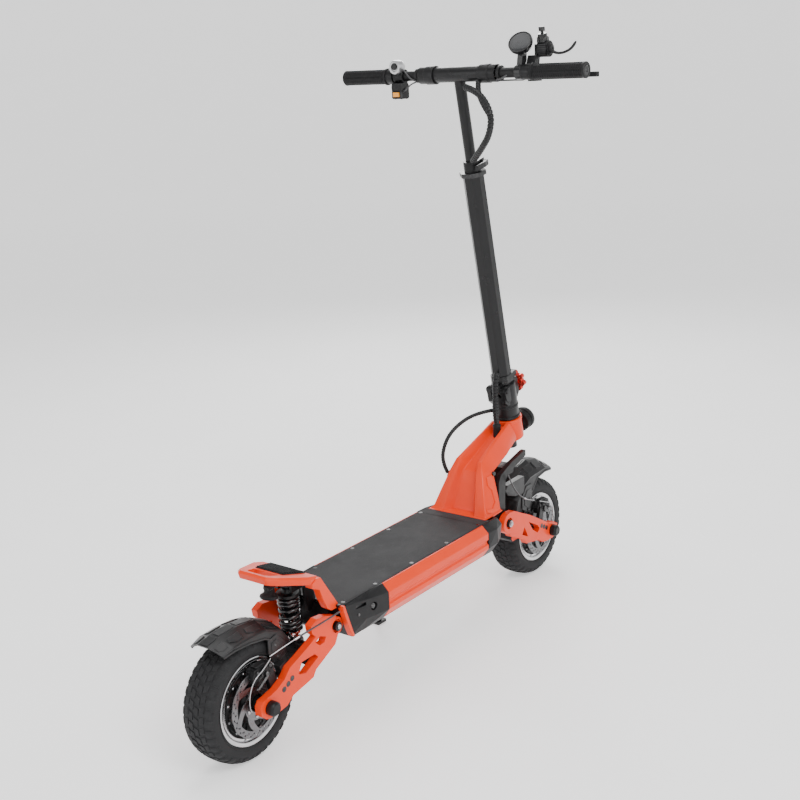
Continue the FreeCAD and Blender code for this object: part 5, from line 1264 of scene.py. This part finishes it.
for name, (mat, width) in LOOK.items():
    ob = N[name]
    if ob.hide_render:
        continue
    ob.data.materials.clear()
    ob.data.materials.append(mat)
    for p in ob.data.polygons:
        p.material_index = 0
    w = ob.modifiers.new("weld", "WELD")
    w.merge_threshold = 2e-5
    b = ob.modifiers.new("bevel", "BEVEL")
    b.width = width * K
    b.segments = 3
    b.limit_method = "ANGLE"
    b.angle_limit = math.radians(32)
    b.harden_normals = False
    b.use_clamp_overlap = True

# ---------------------------------------------------------------- floor, light and camera
fm, nt, fp = new_mat("pale_floor")
v = coords(nt)
nt.links.new(ramp(nt, noise(nt, v, 3.0, 3), [(0.3, (0.86, 0.86, 0.86)), (0.7, (0.89, 0.89, 0.89))]), fp.inputs["Base Color"])
fp.inputs["Roughness"].default_value = 0.9
fp.inputs["Specular IOR Level"].default_value = 0.1
fp.inputs["Emission Color"].default_value = (1.0, 1.0, 1.0, 1)
fp.inputs["Emission Strength"].default_value = 0.55
fbm = bmesh.new()
cove = [(0.02, 0.0), (4.0, 0.0), (10.0, 0.0)] + [(10.0 + 6.0 * math.sin(math.radians(a)), 6.0 - 6.0 * math.cos(math.radians(a))) for a in range(6, 91, 6)] + [(16.0, 9.0)]
loops = [[fbm.verts.new((r * math.cos(2 * math.pi * j / 96), r * math.sin(2 * math.pi * j / 96), z)) for j in range(96)] for r, z in cove]
for l0, l1 in zip(loops, loops[1:]):
    for j in range(96):
        fbm.faces.new((l0[j], l1[j], l1[(j + 1) % 96], l0[(j + 1) % 96]))
fbm.faces.new(loops[0])
bmesh.ops.recalc_face_normals(fbm, faces=fbm.faces)
fme = bpy.data.meshes.new("floor")
fbm.to_mesh(fme)
fbm.free()
fme.shade_smooth()
floor = bpy.data.objects.new("floor", fme)
bpy.context.scene.collection.objects.link(floor)
floor.data.materials.append(fm)

world = bpy.data.worlds.new("studio")
bpy.context.scene.world = world
world.use_nodes = True
bg = world.node_tree.nodes["Background"]
bg.inputs["Color"].default_value = (1.0, 1.0, 1.0, 1)
bg.inputs["Strength"].default_value = 0.62


def area(name, loc, target, size, power, color=(1, 1, 1)):
    d = bpy.data.lights.new(name, "AREA")
    d.shape = "RECTANGLE"
    d.size, d.size_y = size
    d.energy = power
    d.color = color
    o = bpy.data.objects.new(name, d)
    bpy.context.scene.collection.objects.link(o)
    o.location = loc
    o.rotation_euler = (Vector(target) - Vector(loc)).to_track_quat("-Z", "Y").to_euler()
    return o


area("key", (-1.2, -2.6, 3.0), (0, 0, 0.5), (1.6, 1.6), 88)
area("fill", (-3.2, 1.2, 1.8), (0, 0, 0.5), (1.6, 2.2), 16)
area("rim", (2.6, 1.6, 2.4), (0.2, 0, 0.6), (1.2, 2.0), 55)
area("top", (0.2, 0.0, 3.6), (0.1, 0, 0.3), (2.4, 1.6), 40)

cd = bpy.data.cameras.new("photo_view")
cam = bpy.data.objects.new("photo_view", cd)
bpy.context.scene.collection.objects.link(cam)
yaw, pitch, roll = 0.6457193, -0.2639004, -0.0421963
fwd = Vector((math.cos(pitch) * math.cos(yaw), math.cos(pitch) * math.sin(yaw), math.sin(pitch)))
rt = Vector((math.sin(yaw), -math.cos(yaw), 0))
up = rt.cross(fwd)
r2 = rt * math.cos(roll) + up * math.sin(roll)
u2 = -rt * math.sin(roll) + up * math.cos(roll)
mw = Matrix.Identity(4)
for i in range(3):
    mw[i][0], mw[i][1], mw[i][2] = r2[i], u2[i], -fwd[i]
mw[0][3], mw[1][3], mw[2][3] = -2.0761200, -1.5772294, 1.2992482
cam.matrix_world = mw
cd.sensor_width = 36.0
cd.lens = 55.633
cd.clip_end = 60
bpy.context.scene.camera = cam
